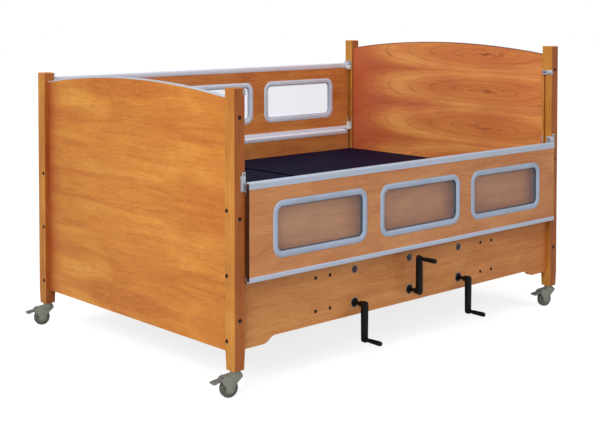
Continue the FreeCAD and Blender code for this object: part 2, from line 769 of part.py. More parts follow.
def lift_screw(label, x):
    low = dim.crank_z + 11.5
    part(fuse(
        cylinder("z", x, MID_Y, low, dim.beam_top + 6, SCREW_SHANK_R),
        cylinder("z", x, MID_Y, dim.beam_top + 4, dim.screw_top, dim.screw_r),
        cone("z", x, MID_Y, low, low + 9, 7, 16)), label)


crank("knee", dim.crank_knee_x, -1, dim.drive_y - 12, bevel_r=19)
crank("lift", dim.crank_lift_x, 1, MID_Y - 13, bevel_r=20)
crank("head", dim.crank_head_x, -1, dim.drive_y - 12, bevel_r=19)
drive_shaft("knee_drive_shaft", dim.crank_knee_x)
drive_shaft("head_drive_shaft", dim.crank_head_x)
line_shaft()
lift_screw("lift_screw_foot", dim.beam_foot_x)
lift_screw("lift_screw_head", dim.beam_head_x)

# ---------------------------------------------------------------- lifting deck frame
FRAME_LOW, FRAME_TOP = dim.frame_low, dim.frame_top
PAN_TOP = dim.deck_top - dim.pad_thk
FRAME_END = 75  # from the frame to each end of the bed
TUBE_WALL = 3
TUBE_WIDE = dim.frame_in - dim.frame_y
CROSS_X = (FRAME_END, dim.hip_x + 10, dim.back_x - 10 - TUBE_WIDE,
           LENGTH - FRAME_END - TUBE_WIDE)
GUIDE_LOW = 325
YOKE_HALF = 20
YOKE_Y, YOKE_THK = 106, 30
YOKE_LOW, YOKE_TOP = 505, 545
HINGE_PIN_R = 4
LUG_HALF = 6.5


def lug(far, x0, x1, z0, z1):
    return side_box(far, x0, x1, 66, 76, z0, z1)


def hinge_hole(far, x):
    return side_cylinder(far, x, dim.hinge_z, 60, 80, HINGE_PIN_R + dim.run_gap)


def frame_tubes():
    """The frame's long and cross tubes, and the hollows in them."""
    solids, holes = [], []
    z0, z1 = FRAME_LOW + TUBE_WALL, FRAME_TOP - TUBE_WALL
    for far in (0, 1):
        solids.append(side_box(far, FRAME_END, LENGTH - FRAME_END,
                               dim.frame_y, dim.frame_in, FRAME_LOW, FRAME_TOP))
        holes.append(side_box(far, FRAME_END - 1, LENGTH - FRAME_END + 1,
                              dim.frame_y + TUBE_WALL, dim.frame_in - TUBE_WALL, z0, z1))
    for x in CROSS_X:
        solids.append(box(x, x + TUBE_WIDE, dim.frame_in - TUBE_WALL,
                          WIDTH - dim.frame_in + TUBE_WALL, FRAME_LOW, FRAME_TOP))
        holes.append(box(x + TUBE_WALL, x + TUBE_WIDE - TUBE_WALL, dim.frame_in - 1,
                         WIDTH - dim.frame_in + 1, z0, z1))
    return solids, holes


def frame_yoke(x):
    """Guide posts that run in the base columns, and a yoke with the lift screw's nut."""
    x0, x1 = x - YOKE_HALF, x + YOKE_HALF
    solids = []
    for far in (0, 1):
        solids.append(side_box(far, x - dim.col_post, x + dim.col_post,
                               dim.col_y - dim.col_post, dim.col_y + dim.col_post,
                               GUIDE_LOW, FRAME_LOW))
        solids.append(side_box(far, x0, x1, YOKE_Y, YOKE_Y + YOKE_THK, YOKE_LOW, FRAME_TOP))
        solids.append(side_box(far, x0, x1, dim.frame_in - TUBE_WALL, YOKE_Y,
                               FRAME_LOW, FRAME_TOP))
    solids.append(box(x0, x1, YOKE_Y, WIDTH - YOKE_Y, YOKE_LOW, YOKE_TOP))
    solids.append(cylinder("z", x, MID_Y, dim.nut_low, YOKE_TOP, dim.nut_r))
    hole = cylinder("z", x, MID_Y, dim.nut_low - 1, YOKE_TOP + 1, dim.screw_r + dim.run_gap)
    return solids, hole


def deck_frame():
    solids, holes = frame_tubes()
    for x in BEAMS:
        yoke, hole = frame_yoke(x)
        solids += yoke
        holes.append(hole)
    # seat pan, part of the frame
    x0, x1, y0, wall = dim.hip_x + 10, dim.back_x - 8, dim.deck_near, dim.pan_wall
    solids.append(box(x0, x1, y0, WIDTH - y0, FRAME_TOP, PAN_TOP))
    holes.append(box(x0 + wall, x1 - wall, y0 + wall, WIDTH - y0 - wall,
                     FRAME_TOP + 2, PAN_TOP - wall))
    for far in (0, 1):
        for x in (dim.hip_x, dim.back_x):
            solids.append(lug(far, x - LUG_HALF, x + LUG_HALF, FRAME_TOP - 4, dim.hinge_z + 8))
            holes.append(hinge_hole(far, x))
    part(cut(fuse(*solids), *holes), "deck_frame")


deck_frame()


# ---------------------------------------------------------------- deck sections and pads
def section(x0, x1, hinge_x, toward, lugs=()):
    """A folded steel pan, open below, with hinge arms and pins.

    toward is +1 where the pan lies on the head side of its hinge and -1 on the foot side.
    """
    y0, wall = dim.deck_near, dim.pan_wall
    low = PAN_TOP - dim.pan_tall
    solids = [cut(box(x0, x1, y0, WIDTH - y0, low, PAN_TOP),
                  box(x0 + wall, x1 - wall, y0 + wall, WIDTH - y0 - wall,
                      low - 1, PAN_TOP - wall))]
    for far in (0, 1):
        solids.append(side_box(far, hinge_x - 5 * toward, hinge_x + 14 * toward, 78, 84,
                               dim.hinge_z - 7, dim.hinge_z + 5.5))
        solids.append(side_cylinder(far, hinge_x, dim.hinge_z, 64, 79, HINGE_PIN_R))
    return fuse(*solids, *lugs)


def thigh_section():
    """The thigh pan, which also has lugs for the calf section's pins."""
    x, z = dim.knee_x, dim.hinge_z
    lugs = [lug(far, x - LUG_HALF, x + 12, z - 7, z + 7) for far in (0, 1)]
    holes = [hinge_hole(far, x) for far in (0, 1)]
    pan = section(x + 10, dim.hip_x - 10, dim.hip_x, -1, lugs)
    part(cut(pan, *holes), "thigh_section")


def deck_pad(label, x0, x1, foot_relief, head_relief):
    """A firm pad on a section; each relief draws its top edge in at that end."""
    body = new_body("PadBody")
    loop = [(x0, PAN_TOP), (x1, PAN_TOP), (x1 - head_relief, dim.deck_top),
            (x0 + foot_relief, dim.deck_top)]
    pad(body, sketch(body, "XZ_Plane", [loop]), WIDTH - 2 * dim.deck_near, reverse=True)
    part(body, label, 0, dim.deck_near)


part(section(dim.back_x + 12, dim.deck_head, dim.back_x, 1), "back_section")
thigh_section()
part(section(dim.deck_foot, dim.knee_x - 10, dim.knee_x, -1), "calf_section")

deck_pad("calf_pad", dim.deck_foot, dim.knee_x - 3, 1, 1)
deck_pad("thigh_pad", dim.knee_x + 3, dim.hip_x - 5, 1, 8)
deck_pad("seat_pad", dim.hip_x + 5, dim.back_x - 9, 8, 15)
deck_pad("back_pad", dim.back_x + 9, dim.deck_head, 15, 1)

# ---------------------------------------------------------------- deck gear cases, lift arms
TUBE_BORE = dim.tube_r + dim.run_gap
CASE_LOW = 425
HANGER_TOP = FRAME_TOP - 3
CASE_Y = (dim.drive_y - 26, dim.drive_y + 26)
WEB_Y = (dim.drive_y - 16, dim.drive_y + 20)
BRIDGE_Y = (dim.frame_in, dim.drive_y)
FAR_Y = (WIDTH - 140, WIDTH - 104)
HEAD_HANGER_X = dim.crank_head_x - 5


def near_case(solids, shaft_x, shaft_top, tube_x):
    """Bores a case for the drive shaft it slides down over and the tube it carries."""
    y = dim.drive_y
    return cut(fuse(*solids),
               cylinder("z", shaft_x, y, CASE_LOW - 5, shaft_top, DRIVE_BORE),
               cylinder("y", tube_x, dim.tube_z, y - 10, y + 30, TUBE_BORE))


def knee_case():
    shaft_x, tube_x, z = dim.crank_knee_x, dim.knee_tube_x, dim.tube_z
    return near_case([
        box(shaft_x - 30, shaft_x + 30, *CASE_Y, CASE_LOW, 480),
        box(shaft_x - 30, tube_x + 34, *WEB_Y, z - 30, z + 30),
        box(tube_x - 30, tube_x + 30, *WEB_Y, z + 20, HANGER_TOP),
        box(tube_x - 30, tube_x + 30, *BRIDGE_Y, FRAME_LOW, HANGER_TOP),
    ], shaft_x, dim.screw_top + 5, tube_x)


def head_case():
    shaft_x, tube_x, z = dim.crank_head_x, dim.head_tube_x, dim.tube_z
    return near_case([
        box(tube_x - 34, shaft_x + 30, *CASE_Y, CASE_LOW, z + 34),
        box(shaft_x - 14, shaft_x + 24, *WEB_Y, z + 30, HANGER_TOP),
        box(shaft_x - 14, shaft_x + 24, *BRIDGE_Y, FRAME_LOW, HANGER_TOP),
    ], shaft_x, FRAME_TOP + 2, tube_x)


def far_hanger(tube_x, hanger_x):
    """Carries the far end of a tube from the deck frame."""
    z, x0, x1 = dim.tube_z, hanger_x - 14, hanger_x + 24
    return cut(
        fuse(box(tube_x - 26, tube_x + 26, *FAR_Y, z - 26, z + 26),
             box(tube_x - 26, x1, *FAR_Y, z + 20, z + 40),
             box(x0, x1, *FAR_Y, z + 30, HANGER_TOP),
             box(x0, x1, FAR_Y[1], WIDTH - dim.frame_in, FRAME_LOW, HANGER_TOP)),
        cylinder("y", tube_x, z, WIDTH - 145, WIDTH - 110, TUBE_BORE))


def lift_arm(label, tube_x, roller_x):
    """A cross tube with two arms and rollers that bear under a section's sheet."""
    arm_y, arm_thk, arm_deep = (400, 1090), 10, 26
    roller_half = 12
    tube_z = dim.tube_z
    roller_z = PAN_TOP - dim.pan_wall - dim.roller_r - 1
    dx, dz = roller_x - tube_x.v, roller_z.v - tube_z.v
    tilt = Rotation(Vector(0, 1, 0), -math.degrees(math.atan2(dz, dx)))
    solids = [cylinder("y", tube_x, tube_z, dim.drive_y - 8, WIDTH - 112, dim.tube_r)]
    for y in arm_y:
        arm = new("Part::Box", "Arm")
        arm.Length, arm.Width, arm.Height = math.hypot(dx, dz), arm_thk, arm_deep
        # centred on the line from the tube's axis to the roller's
        arm.Placement = (Placement(Vector(tube_x.v, y - arm_thk / 2, tube_z.v), tilt)
                         * Placement(Vector(0, 0, -arm_deep / 2), Rotation()))
        solids += [arm, cylinder("y", roller_x, roller_z, y - roller_half, y + roller_half,
                                 dim.roller_r)]
    part(fuse(*solids), label)


part(group(knee_case(), head_case(),
           far_hanger(dim.knee_tube_x, dim.knee_tube_x),
           far_hanger(dim.head_tube_x, HEAD_HANGER_X)), "deck_gear_cases")
lift_arm("knee_lift_arm", dim.knee_tube_x, 750)
lift_arm("head_lift_arm", dim.head_tube_x, 1650)

# ---------------------------------------------------------------- casters
# Each caster is drawn with its swivel axis at 0 and its wheel trailing towards +X.
CAST_ROTATION = Rotation(Vector(0, 0, 1), dim.cast_turn.v)
FORK_IN, FORK_OUT = 16.5, 22  # y of a fork cheek's faces
PEDAL_X, PEDAL_Z, PEDAL_PIN_R = 62, 74, 3


def caster_fork():
    x, z = dim.cast_trail, dim.wheel_r
    sides = (1, -1)
    return fuse(
        cylinder("z", 0, 0, 91, dim.post_bot, 21),
        cylinder("z", 0, 0, 84, 93, 26),
        box(-20, 52, -FORK_OUT, FORK_OUT, 77, 88),
        cylinder("z", -4, 0, 77, 88, FORK_OUT),
        *[box(14, 46, FORK_IN * side, FORK_OUT * side, 30, 80) for side in sides],
        *[cylinder("y", x, z, FORK_IN * side, FORK_OUT * side, 16) for side in sides],
        cylinder("y", x, z, -24, 24, dim.axle_r),
        *[box(44, 69, 17.5 * side, FORK_OUT * side, 66, 88) for side in sides],
        cylinder("y", PEDAL_X, PEDAL_Z, -24, 24, PEDAL_PIN_R))


def caster_wheel():
    """A wheel with stepped tread edges, a hub and a ring recess in each face."""
    x, z, half = dim.cast_trail, dim.wheel_r, dim.wheel_half

    def disc(low, high, radius):
        return cylinder("y", x, z, low, high, radius)

    return cut(
        fuse(disc(-half, half, z - 2), disc(4 - half, half - 4, z),
             disc(-half - 2.5, half + 2.5, 11)),
        disc(-half - 3, half + 3, dim.axle_r + dim.run_gap),
        cut(disc(half - 3, half + 1, 27), disc(half - 4, half + 3, 14)),
        cut(disc(-half - 1, 3 - half, 27), disc(-half - 3, 4 - half, 14)))


def caster_pedal():
    return cut(
        fuse(cylinder("y", PEDAL_X, PEDAL_Z, -FORK_IN, FORK_IN, 6.5),
             box(PEDAL_X, 96, -FORK_IN, FORK_IN, 67.5, 74.5),
             box(88, 104, -19, 19, 63, 70),
             cylinder("y", 104, 66.5, -19, 19, 3.5)),
        cylinder("y", PEDAL_X, PEDAL_Z, -17, 17, PEDAL_PIN_R + dim.run_gap))


for head, far in CORNERS:
    for piece, make in (("fork", caster_fork), ("wheel", caster_wheel),
                        ("pedal", caster_pedal)):
        part(make(), "caster_%s_%s_%s" % (piece, END_NAMES[head], SIDE_NAMES[far]),
             at_end(POST / 2, head), at_side(POST / 2, far), CAST_ROTATION)

# ---------------------------------------------------------------- check and write
doc.recompute()
for obj in doc.Objects:
    bad = [state for state in obj.State if state in ("Invalid", "Error")]
    if bad:
        raise RuntimeError("%s (%s) is %s" % (obj.Name, obj.Label, bad))
for label, obj in parts:
    shape = obj.Shape
    if shape.isNull() or not shape.isValid() or not shape.Solids:
        raise RuntimeError("%s has a bad shape" % label)
    shape.exportStep("parts/%s.step" % label)
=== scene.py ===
import math

import bmesh
import bpy
from mathutils import Matrix, Vector, noise


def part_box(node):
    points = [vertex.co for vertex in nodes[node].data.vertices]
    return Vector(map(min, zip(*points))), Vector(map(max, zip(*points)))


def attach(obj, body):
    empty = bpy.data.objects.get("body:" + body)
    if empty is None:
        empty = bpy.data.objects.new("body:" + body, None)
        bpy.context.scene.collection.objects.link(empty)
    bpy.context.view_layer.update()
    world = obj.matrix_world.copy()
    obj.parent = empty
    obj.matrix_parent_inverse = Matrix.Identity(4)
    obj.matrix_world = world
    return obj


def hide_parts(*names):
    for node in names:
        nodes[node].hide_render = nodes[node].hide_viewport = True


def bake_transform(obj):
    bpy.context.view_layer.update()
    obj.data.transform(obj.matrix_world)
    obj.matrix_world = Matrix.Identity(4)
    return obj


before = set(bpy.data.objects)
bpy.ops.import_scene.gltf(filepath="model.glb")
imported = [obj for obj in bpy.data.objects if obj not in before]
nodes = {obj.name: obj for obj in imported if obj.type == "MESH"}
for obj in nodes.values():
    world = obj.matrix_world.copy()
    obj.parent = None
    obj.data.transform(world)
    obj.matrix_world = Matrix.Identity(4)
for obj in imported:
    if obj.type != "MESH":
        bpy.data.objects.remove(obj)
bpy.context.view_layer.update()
scene = bpy.context.scene

# ------------------------------------------------------------------ drawing axes
# The sizes below are in millimetres from the outer bottom corner of the near
# foot post, X towards the head end, Y towards the far side, Z up.
_lo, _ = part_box("post_foot_near")
OX, OY = -_lo.x * 1000.0, -_lo.y * 1000.0
L, W, S = 2150.0, 1490.0, 57.0


def M(x, y, z):
    return Vector(((x - OX) / 1000.0, (y - OY) / 1000.0, z / 1000.0))


def mx(x, head):
    return L - x if head else x


def my(y, far):
    return W - y if far else y


# ------------------------------------------------------------------ materials
def new_mat(name):
    m = bpy.data.materials.new(name)
    m.use_nodes = True
    nt = m.node_tree
    bsdf = next(n for n in nt.nodes if n.type == "BSDF_PRINCIPLED")
    return m, nt, bsdf


class T:
    """Small helper for building node trees."""

    def __init__(self, nt):
        self.nt = nt

    def put(self, sock, v):
        if isinstance(v, bpy.types.NodeSocket):
            self.nt.links.new(v, sock)
        elif v is not None:
            sock.default_value = v

    def math(self, op, a, b=None, c=None, clamp=False):
        n = self.nt.nodes.new("ShaderNodeMath")
        n.operation = op
        n.use_clamp = clamp
        self.put(n.inputs[0], a)
        self.put(n.inputs[1], b)
        self.put(n.inputs[2], c)
        return n.outputs[0]

    def noise(self, vec, scale, detail=2.0, rough=0.5, out=0, dist=0.0):
        n = self.nt.nodes.new("ShaderNodeTexNoise")
        self.put(n.inputs["Vector"], vec)
        n.inputs["Scale"].default_value = scale
        n.inputs["Detail"].default_value = detail
        n.inputs["Roughness"].default_value = rough
        n.inputs["Distortion"].default_value = dist
        return n.outputs[out]

    def xyz(self, vec):
        n = self.nt.nodes.new("ShaderNodeSeparateXYZ")
        self.put(n.inputs[0], vec)
        return n.outputs[0], n.outputs[1], n.outputs[2]

    def vec(self, x, y, z):
        n = self.nt.nodes.new("ShaderNodeCombineXYZ")
        for s, v in zip(n.inputs, (x, y, z)):
            self.put(s, v)
        return n.outputs[0]

    def obj(self):
        n = self.nt.nodes.new("ShaderNodeTexCoord")
        return n.outputs["Object"]

    def ramp(self, fac, stops):
        n = self.nt.nodes.new("ShaderNodeValToRGB")
        r = n.color_ramp
        while len(r.elements) < len(stops):
            r.elements.new(0.5)
        for e, (p, c) in zip(r.elements, stops):
            e.position = p
            e.color = tuple(c) + (1.0,) if len(c) == 3 else c
        self.put(n.inputs[0], fac)
        return n.outputs[0]

    def mix(self, fac, a, b, mode="MIX"):
        n = self.nt.nodes.new("ShaderNodeMix")
        n.data_type = "RGBA"
        n.blend_type = mode
        self.put(n.inputs["Factor"], fac)
        for key, v in (("A", a), ("B", b)):
            s = [i for i in n.inputs if i.name == key and i.type == "RGBA"][0]
            if not isinstance(v, bpy.types.NodeSocket) and len(v) == 3:
                v = tuple(v) + (1.0,)
            self.put(s, v)
        return [o for o in n.outputs if o.type == "RGBA"][0]

    def bump(self, height, strength, distance):
        n = self.nt.nodes.new("ShaderNodeBump")
        n.inputs["Strength"].default_value = strength
        n.inputs["Distance"].default_value = distance
        self.put(n.inputs["Height"], height)
        return n.outputs[0]


def lin(r, g, b):
    """Linear colour from 0-255 screen values."""
    out = []
    for v in (r, g, b):
        v /= 255.0
        out.append(v / 12.92 if v <= 0.04045 else ((v + 0.055) / 1.055) ** 2.4)
    return tuple(out)


def wood(name, grain, mid, dark, light, seed, figure=0.5, pitch=70.0, depth=0.09, flitch=0.0, gloss=0.36, coatw=0.10, spec=0.25, swirl=1.0, end=None, side=None, grad=None, edge=None, fleck=0.0, streaks=0.0):
    """Lacquered cherry-like wood. grain is the axis the fibres run along."""
    m, nt, bsdf = new_mat(name)
    t = T(nt)
    x, y, z = t.xyz(t.obj())
    g, a, d = {"X": (x, z, y), "Y": (y, z, x), "Z": (z, x, y)}[grain]
    g = t.math("ADD", g, 3.1 * seed + 0.37)
    a = t.math("ADD", a, 0.173 * seed)
    if flitch:
        # neighbouring leaves of veneer are turned over, so the figure mirrors
        k = t.math("DIVIDE", a, flitch)
        a = t.math("MULTIPLY", t.math("PINGPONG", k, 1.0), flitch)
        a = t.math("SUBTRACT", a, flitch * 0.45)
    low = t.vec(t.math("MULTIPLY", g, 1.3), t.math("MULTIPLY", a, 4.0), t.math("MULTIPLY", d, 4.0))
    w1 = t.noise(low, 1.0, 2.0, 0.55)
    w2 = t.noise(t.vec(t.math("MULTIPLY", g, 4.2), t.math("MULTIPLY", a, 9.0), t.math("ADD", t.math("MULTIPLY", d, 9.0), 7.3)), 1.0, 3.0, 0.6)
    a2 = t.math("ADD", a, t.math("MULTIPLY", t.math("SUBTRACT", w1, 0.5), 0.20 * swirl))
    a2 = t.math("ADD", a2, t.math("MULTIPLY", t.math("SUBTRACT", w2, 0.5), 0.035 * swirl))
    d2 = t.math("ADD", d, t.math("MULTIPLY", t.math("SUBTRACT", w2, 0.5), 0.03 * swirl))
    d2 = t.math("ADD", d2, depth)
    r = t.math("SQRT", t.math("ADD", t.math("MULTIPLY", a2, a2), t.math("MULTIPLY", d2, d2)))
    ring = t.math("FRACT", t.math("MULTIPLY", r, pitch))
    ring = t.math("POWER", t.math("SUBTRACT", 1.0, t.math("ABSOLUTE", t.math("SUBTRACT", t.math("MULTIPLY", ring, 2.0), 1.0))), 1.6)
    fine = t.noise(t.vec(t.math("MULTIPLY", g, 5.0), t.math("MULTIPLY", a2, 190.0), t.math("MULTIPLY", d, 190.0)), 1.0, 4.0, 0.65)
    band = t.noise(t.vec(t.math("MULTIPLY", g, 1.6), t.math("MULTIPLY", a2, 34.0), t.math("MULTIPLY", d, 34.0)), 1.0, 3.0, 0.6)
    blot = t.noise(t.vec(t.math("MULTIPLY", g, 2.2), t.math("MULTIPLY", a, 5.5), t.math("ADD", d, 3.7)), 1.0, 3.0, 0.55, dist=0.6)
    pore = t.noise(t.vec(t.math("MULTIPLY", g, 45.0), t.math("MULTIPLY", a, 1300.0), t.math("MULTIPLY", d, 1300.0)), 1.0, 1.0, 0.5)
    col = t.ramp(blot, [(0.30, dark), (0.52, mid), (0.74, light)])
    col = t.mix(t.math("MULTIPLY", ring, figure), col, dark)
    col = t.mix(t.math("MULTIPLY", t.math("SUBTRACT", band, 0.42, clamp=True), 1.5, clamp=True), col, tuple(c * k for c, k in zip(dark, (0.88, 0.72, 0.6))))
    streak = t.ramp(fine, [(0.25, (0.80, 0.74, 0.66)), (0.5, (1.0, 1.0, 1.0)), (0.8, (1.08, 1.06, 1.0))])
    col = t.mix(1.0, col, streak, "MULTIPLY")
    pores = t.math("MULTIPLY", t.math("GREATER_THAN", pore, 0.665), 0.35)
    col = t.mix(pores, col, tuple(c * 0.35 for c in dark))
    if streaks:
        # a few broad darker streaks that wander along the board
        wander = t.math("MULTIPLY", t.math("SUBTRACT", w1, 0.5), 0.12)
        sn = t.noise(t.vec(t.math("MULTIPLY", g, 0.9), t.math("MULTIPLY", t.math("ADD", a, wander), 11.0), 4.4), 1.0, 3.0, 0.62)
        col = t.mix(t.math("MULTIPLY", t.math("SUBTRACT", sn, 0.47, clamp=True), 5.0 * streaks, clamp=True), col, tuple(c * k for c, k in zip(dark, (0.86, 0.72, 0.55))))
    if fleck:
        # short light and dark flecks along the fibres
        fl = t.noise(t.vec(t.math("MULTIPLY", g, 26.0), t.math("MULTIPLY", a2, 210.0), t.math("MULTIPLY", d, 210.0)), 1.0, 3.0, 0.7)
        col = t.mix(fleck, col, t.ramp(fl, [(0.34, tuple(c * 0.45 for c in dark)), (0.48, mid), (0.66, tuple(min(1.0, c * 1.35) for c in light))]))
    if grad:
        # the colour is multiplied by a gradient along X between two given factors
        x0_, c0_, x1_, c1_ = grad
        k = t.math("DIVIDE", t.math("SUBTRACT", x, x0_), x1_ - x0_, clamp=True)
        col = t.mix(1.0, col, t.ramp(k, [(0.0, c0_), (1.0, c1_)]), "MULTIPLY")
    if edge:
        # the board reddens into the corner with its far post
        y0_, y1_, c_, amount = edge
        k = t.math("DIVIDE", t.math("SUBTRACT", y, y0_), y1_ - y0_, clamp=True)
        col = t.mix(t.math("MULTIPLY", t.math("POWER", k, 1.7), amount), col, c_)
    if side:
        # painted light and shade by face: faces square to Y are multiplied darker and redder, faces square to X
        # lighter, as the light falls on them
        co = nt.nodes.new("ShaderNodeTexCoord")
        ny = t.xyz(co.outputs["Normal"])[1]
        col = t.mix(t.math("GREATER_THAN", t.math("ABSOLUTE", ny), 0.8), t.mix(1.0, col, side[0], "MULTIPLY"), t.mix(1.0, col, side[1], "MULTIPLY"))
    if end is not None:
        # the end faces, square to X, are painted a near-black brown
        co = nt.nodes.new("ShaderNodeTexCoord")
        nx = t.xyz(co.outputs["Normal"])[0]
        col = t.mix(t.math("GREATER_THAN", t.math("ABSOLUTE", nx), 0.9), col, end)
    t.put(bsdf.inputs["Base Color"], col)
    t.put(bsdf.inputs["Roughness"], t.math("ADD", t.math("MULTIPLY", fine, 0.16), gloss))
    bsdf.inputs["Specular IOR Level"].default_value = spec
    bsdf.inputs["Coat Weight"].default_value = coatw
    bsdf.inputs["Coat Roughness"].default_value = 0.18
    h = t.math("ADD", t.math("MULTIPLY", fine, 0.7), t.math("MULTIPLY", ring, 0.25))
    t.put(bsdf.inputs["Normal"], t.bump(h, 0.25, 0.0004))
    return m


def cathedral(name, mid, dark, light, red):
    """Slip-matched veneer leaves, each with the same long nested arch figure."""
    m, nt, bsdf = new_mat(name)
    t = T(nt)
    x, y, z = t.xyz(t.obj())
    y = t.math("ADD", y, OY / 1000.0)
    leaf = 0.20
    k = t.math("DIVIDE", t.math("ADD", z, 1.0 - 0.987), leaf)
    a = t.math("MULTIPLY", t.math("SUBTRACT", t.math("FRACT", k), 0.5), leaf)
    n = t.math("FLOOR", k)
    w1 = t.noise(t.vec(t.math("MULTIPLY", y, 2.4), t.math("MULTIPLY", a, 7.0), t.math("MULTIPLY", n, 0.35)), 1.0, 2.0, 0.5)
    w2 = t.noise(t.vec(t.math("MULTIPLY", y, 11.0), t.math("MULTIPLY", a, 30.0), t.math("MULTIPLY", n, 0.5)), 1.0, 3.0, 0.55)
    g = t.math("MULTIPLY", t.math("SUBTRACT", y, 0.43), 0.136)
    g = t.math("ADD", g, t.math("MULTIPLY", t.math("SUBTRACT", w1, 0.5), 0.030))
    a2 = t.math("ADD", a, t.math("MULTIPLY", t.math("SUBTRACT", w1, 0.5), 0.016))
    a2 = t.math("ADD", a2, t.math("MULTIPLY", t.math("SUBTRACT", w2, 0.5), 0.010))
    r = t.math("SQRT", t.math("ADD", t.math("MULTIPLY", a2, a2), t.math("MULTIPLY", g, g)))
    ring = t.math("FRACT", t.math("ADD", t.math("MULTIPLY", r, 44.0), 0.25))
    ring = t.math("SUBTRACT", 1.0, t.math("ABSOLUTE", t.math("SUBTRACT", t.math("MULTIPLY", ring, 2.0), 1.0)))
    line = t.math("POWER", ring, 9.0)
    fine = t.noise(t.vec(t.math("MULTIPLY", y, 6.0), t.math("MULTIPLY", a2, 230.0), t.math("MULTIPLY", x, 230.0)), 1.0, 4.0, 0.65)
    band = t.noise(t.vec(t.math("MULTIPLY", y, 1.8), t.math("MULTIPLY", z, 26.0), 2.1), 1.0, 3.0, 0.6)
    blot = t.noise(t.vec(t.math("MULTIPLY", y, 3.0), t.math("MULTIPLY", z, 9.0), 5.3), 1.0, 2.0, 0.5)
    col = t.ramp(r, [(0.0, mid), (0.055, mid), (0.082, light), (0.097, light), (0.112, mid), (0.135, dark), (0.17, red)])
    col = t.mix(t.math("MULTIPLY", t.math("SUBTRACT", blot, 0.40, clamp=True), 1.6, clamp=True), col, red)
    col = t.mix(t.math("MULTIPLY", t.math("SUBTRACT", band, 0.46, clamp=True), 1.5, clamp=True), col, dark)
    left = t.math("DIVIDE", t.math("SUBTRACT", y, 1.10), 0.33, clamp=True)
    col = t.mix(t.math("MULTIPLY", left, 0.45), col, red)
    grow = t.noise(t.vec(t.math("MULTIPLY", y, 5.0), t.math("MULTIPLY", a, 16.0), n), 1.0, 2.0, 0.5)
    line = t.math("MULTIPLY", line, t.math("MULTIPLY", t.math("SUBTRACT", grow, 0.28, clamp=True), 2.2, clamp=True))
    col = t.mix(t.math("MULTIPLY", line, 0.75), col, tuple(c * 0.55 for c in dark))
    # small dark knots and gum marks at the heart of each leaf
    heart = t.math("SUBTRACT", 1.0, t.math("DIVIDE", r, 0.030), clamp=True)
    knot = t.math("GREATER_THAN", t.noise(t.vec(t.math("MULTIPLY", y, 13.0), t.math("MULTIPLY", a2, 70.0), n), 1.0, 2.0, 0.55), 0.56)
    col = t.mix(t.math("MULTIPLY", t.math("MULTIPLY", heart, knot), 0.7), col, tuple(c * 0.40 for c in dark))
    # the joint between two leaves
    seam = t.math("GREATER_THAN", t.math("ABSOLUTE", a), leaf / 2 - 0.0012)
    col = t.mix(t.math("MULTIPLY", seam, 0.35), col, dark)
    streak = t.ramp(fine, [(0.25, (0.86, 0.80, 0.74)), (0.5, (1.0, 1.0, 1.0)), (0.8, (1.07, 1.05, 1.0))])
    col = t.mix(1.0, col, streak, "MULTIPLY")
    t.put(bsdf.inputs["Base Color"], col)
    t.put(bsdf.inputs["Roughness"], t.math("ADD", t.math("MULTIPLY", fine, 0.16), 0.34))
    bsdf.inputs["Specular IOR Level"].default_value = 0.25
    bsdf.inputs["Coat Weight"].default_value = 0.10
    bsdf.inputs["Coat Roughness"].default_value = 0.18
    t.put(bsdf.inputs["Normal"], t.bump(fine, 0.2, 0.0004))
    return m


def metal(name, colour, metallic=0.75, rough=0.34, brush="X", amount=0.10):
    m, nt, bsdf = new_mat(name)
    t = T(nt)
    x, y, z = t.xyz(t.obj())
    k = {"X": (6.0, 900.0, 900.0), "Y": (900.0, 6.0, 900.0), "Z": (900.0, 900.0, 6.0), "": (220.0, 220.0, 220.0)}[brush]
    n = t.noise(t.vec(*[t.math("MULTIPLY", c, f) for c, f in zip((x, y, z), k)]), 1.0, 3.0, 0.6)
    soft = t.noise(t.obj(), 7.0, 3.0, 0.5)
    lo_, hi = tuple(c * (1 - amount) for c in colour), tuple(min(1.0, c * (1 + amount)) for c in colour)
    col = t.ramp(n, [(0.3, lo_), (0.7, hi)])
    col = t.mix(t.math("MULTIPLY", soft, 0.22), col, tuple(c * 0.86 for c in colour))
    t.put(bsdf.inputs["Base Color"], col)
    bsdf.inputs["Metallic"].default_value = metallic
    t.put(bsdf.inputs["Roughness"], t.math("ADD", t.math("MULTIPLY", n, 0.14), rough - 0.07))
    t.put(bsdf.inputs["Normal"], t.bump(n, 0.08, 0.0002))
    return m


def coat(name, colour, rough=0.42, grain=900.0, bump=0.25, spec=0.5, wear=0.0, metallic=0.0, coatw=0.0):
    """Powder coat, moulded plastic or rubber: fine skin texture with soft tone changes."""
    m, nt, bsdf = new_mat(name)
    t = T(nt)
    o = t.obj()
    skin = t.noise(o, grain, 3.0, 0.6)
    soft = t.noise(o, 9.0, 4.0, 0.6)
    col = t.ramp(soft, [(0.25, tuple(c * 0.86 for c in colour)), (0.55, colour), (0.85, tuple(min(1.0, c * 1.14) for c in colour))])
    if wear:
        scuff = t.math("MULTIPLY", t.math("GREATER_THAN", t.noise(o, 60.0, 5.0, 0.7), 0.66), wear)
        col = t.mix(scuff, col, tuple(min(1.0, c * 1.7 + 0.03) for c in colour))
    t.put(bsdf.inputs["Base Color"], col)
    bsdf.inputs["Metallic"].default_value = metallic
    bsdf.inputs["Specular IOR Level"].default_value = spec
    bsdf.inputs["Coat Weight"].default_value = coatw
    bsdf.inputs["Coat Roughness"].default_value = 0.12
    t.put(bsdf.inputs["Roughness"], t.math("ADD", t.math("MULTIPLY", soft, 0.14), rough - 0.07))
    t.put(bsdf.inputs["Normal"], t.bump(skin, bump, 0.0002))
    return m


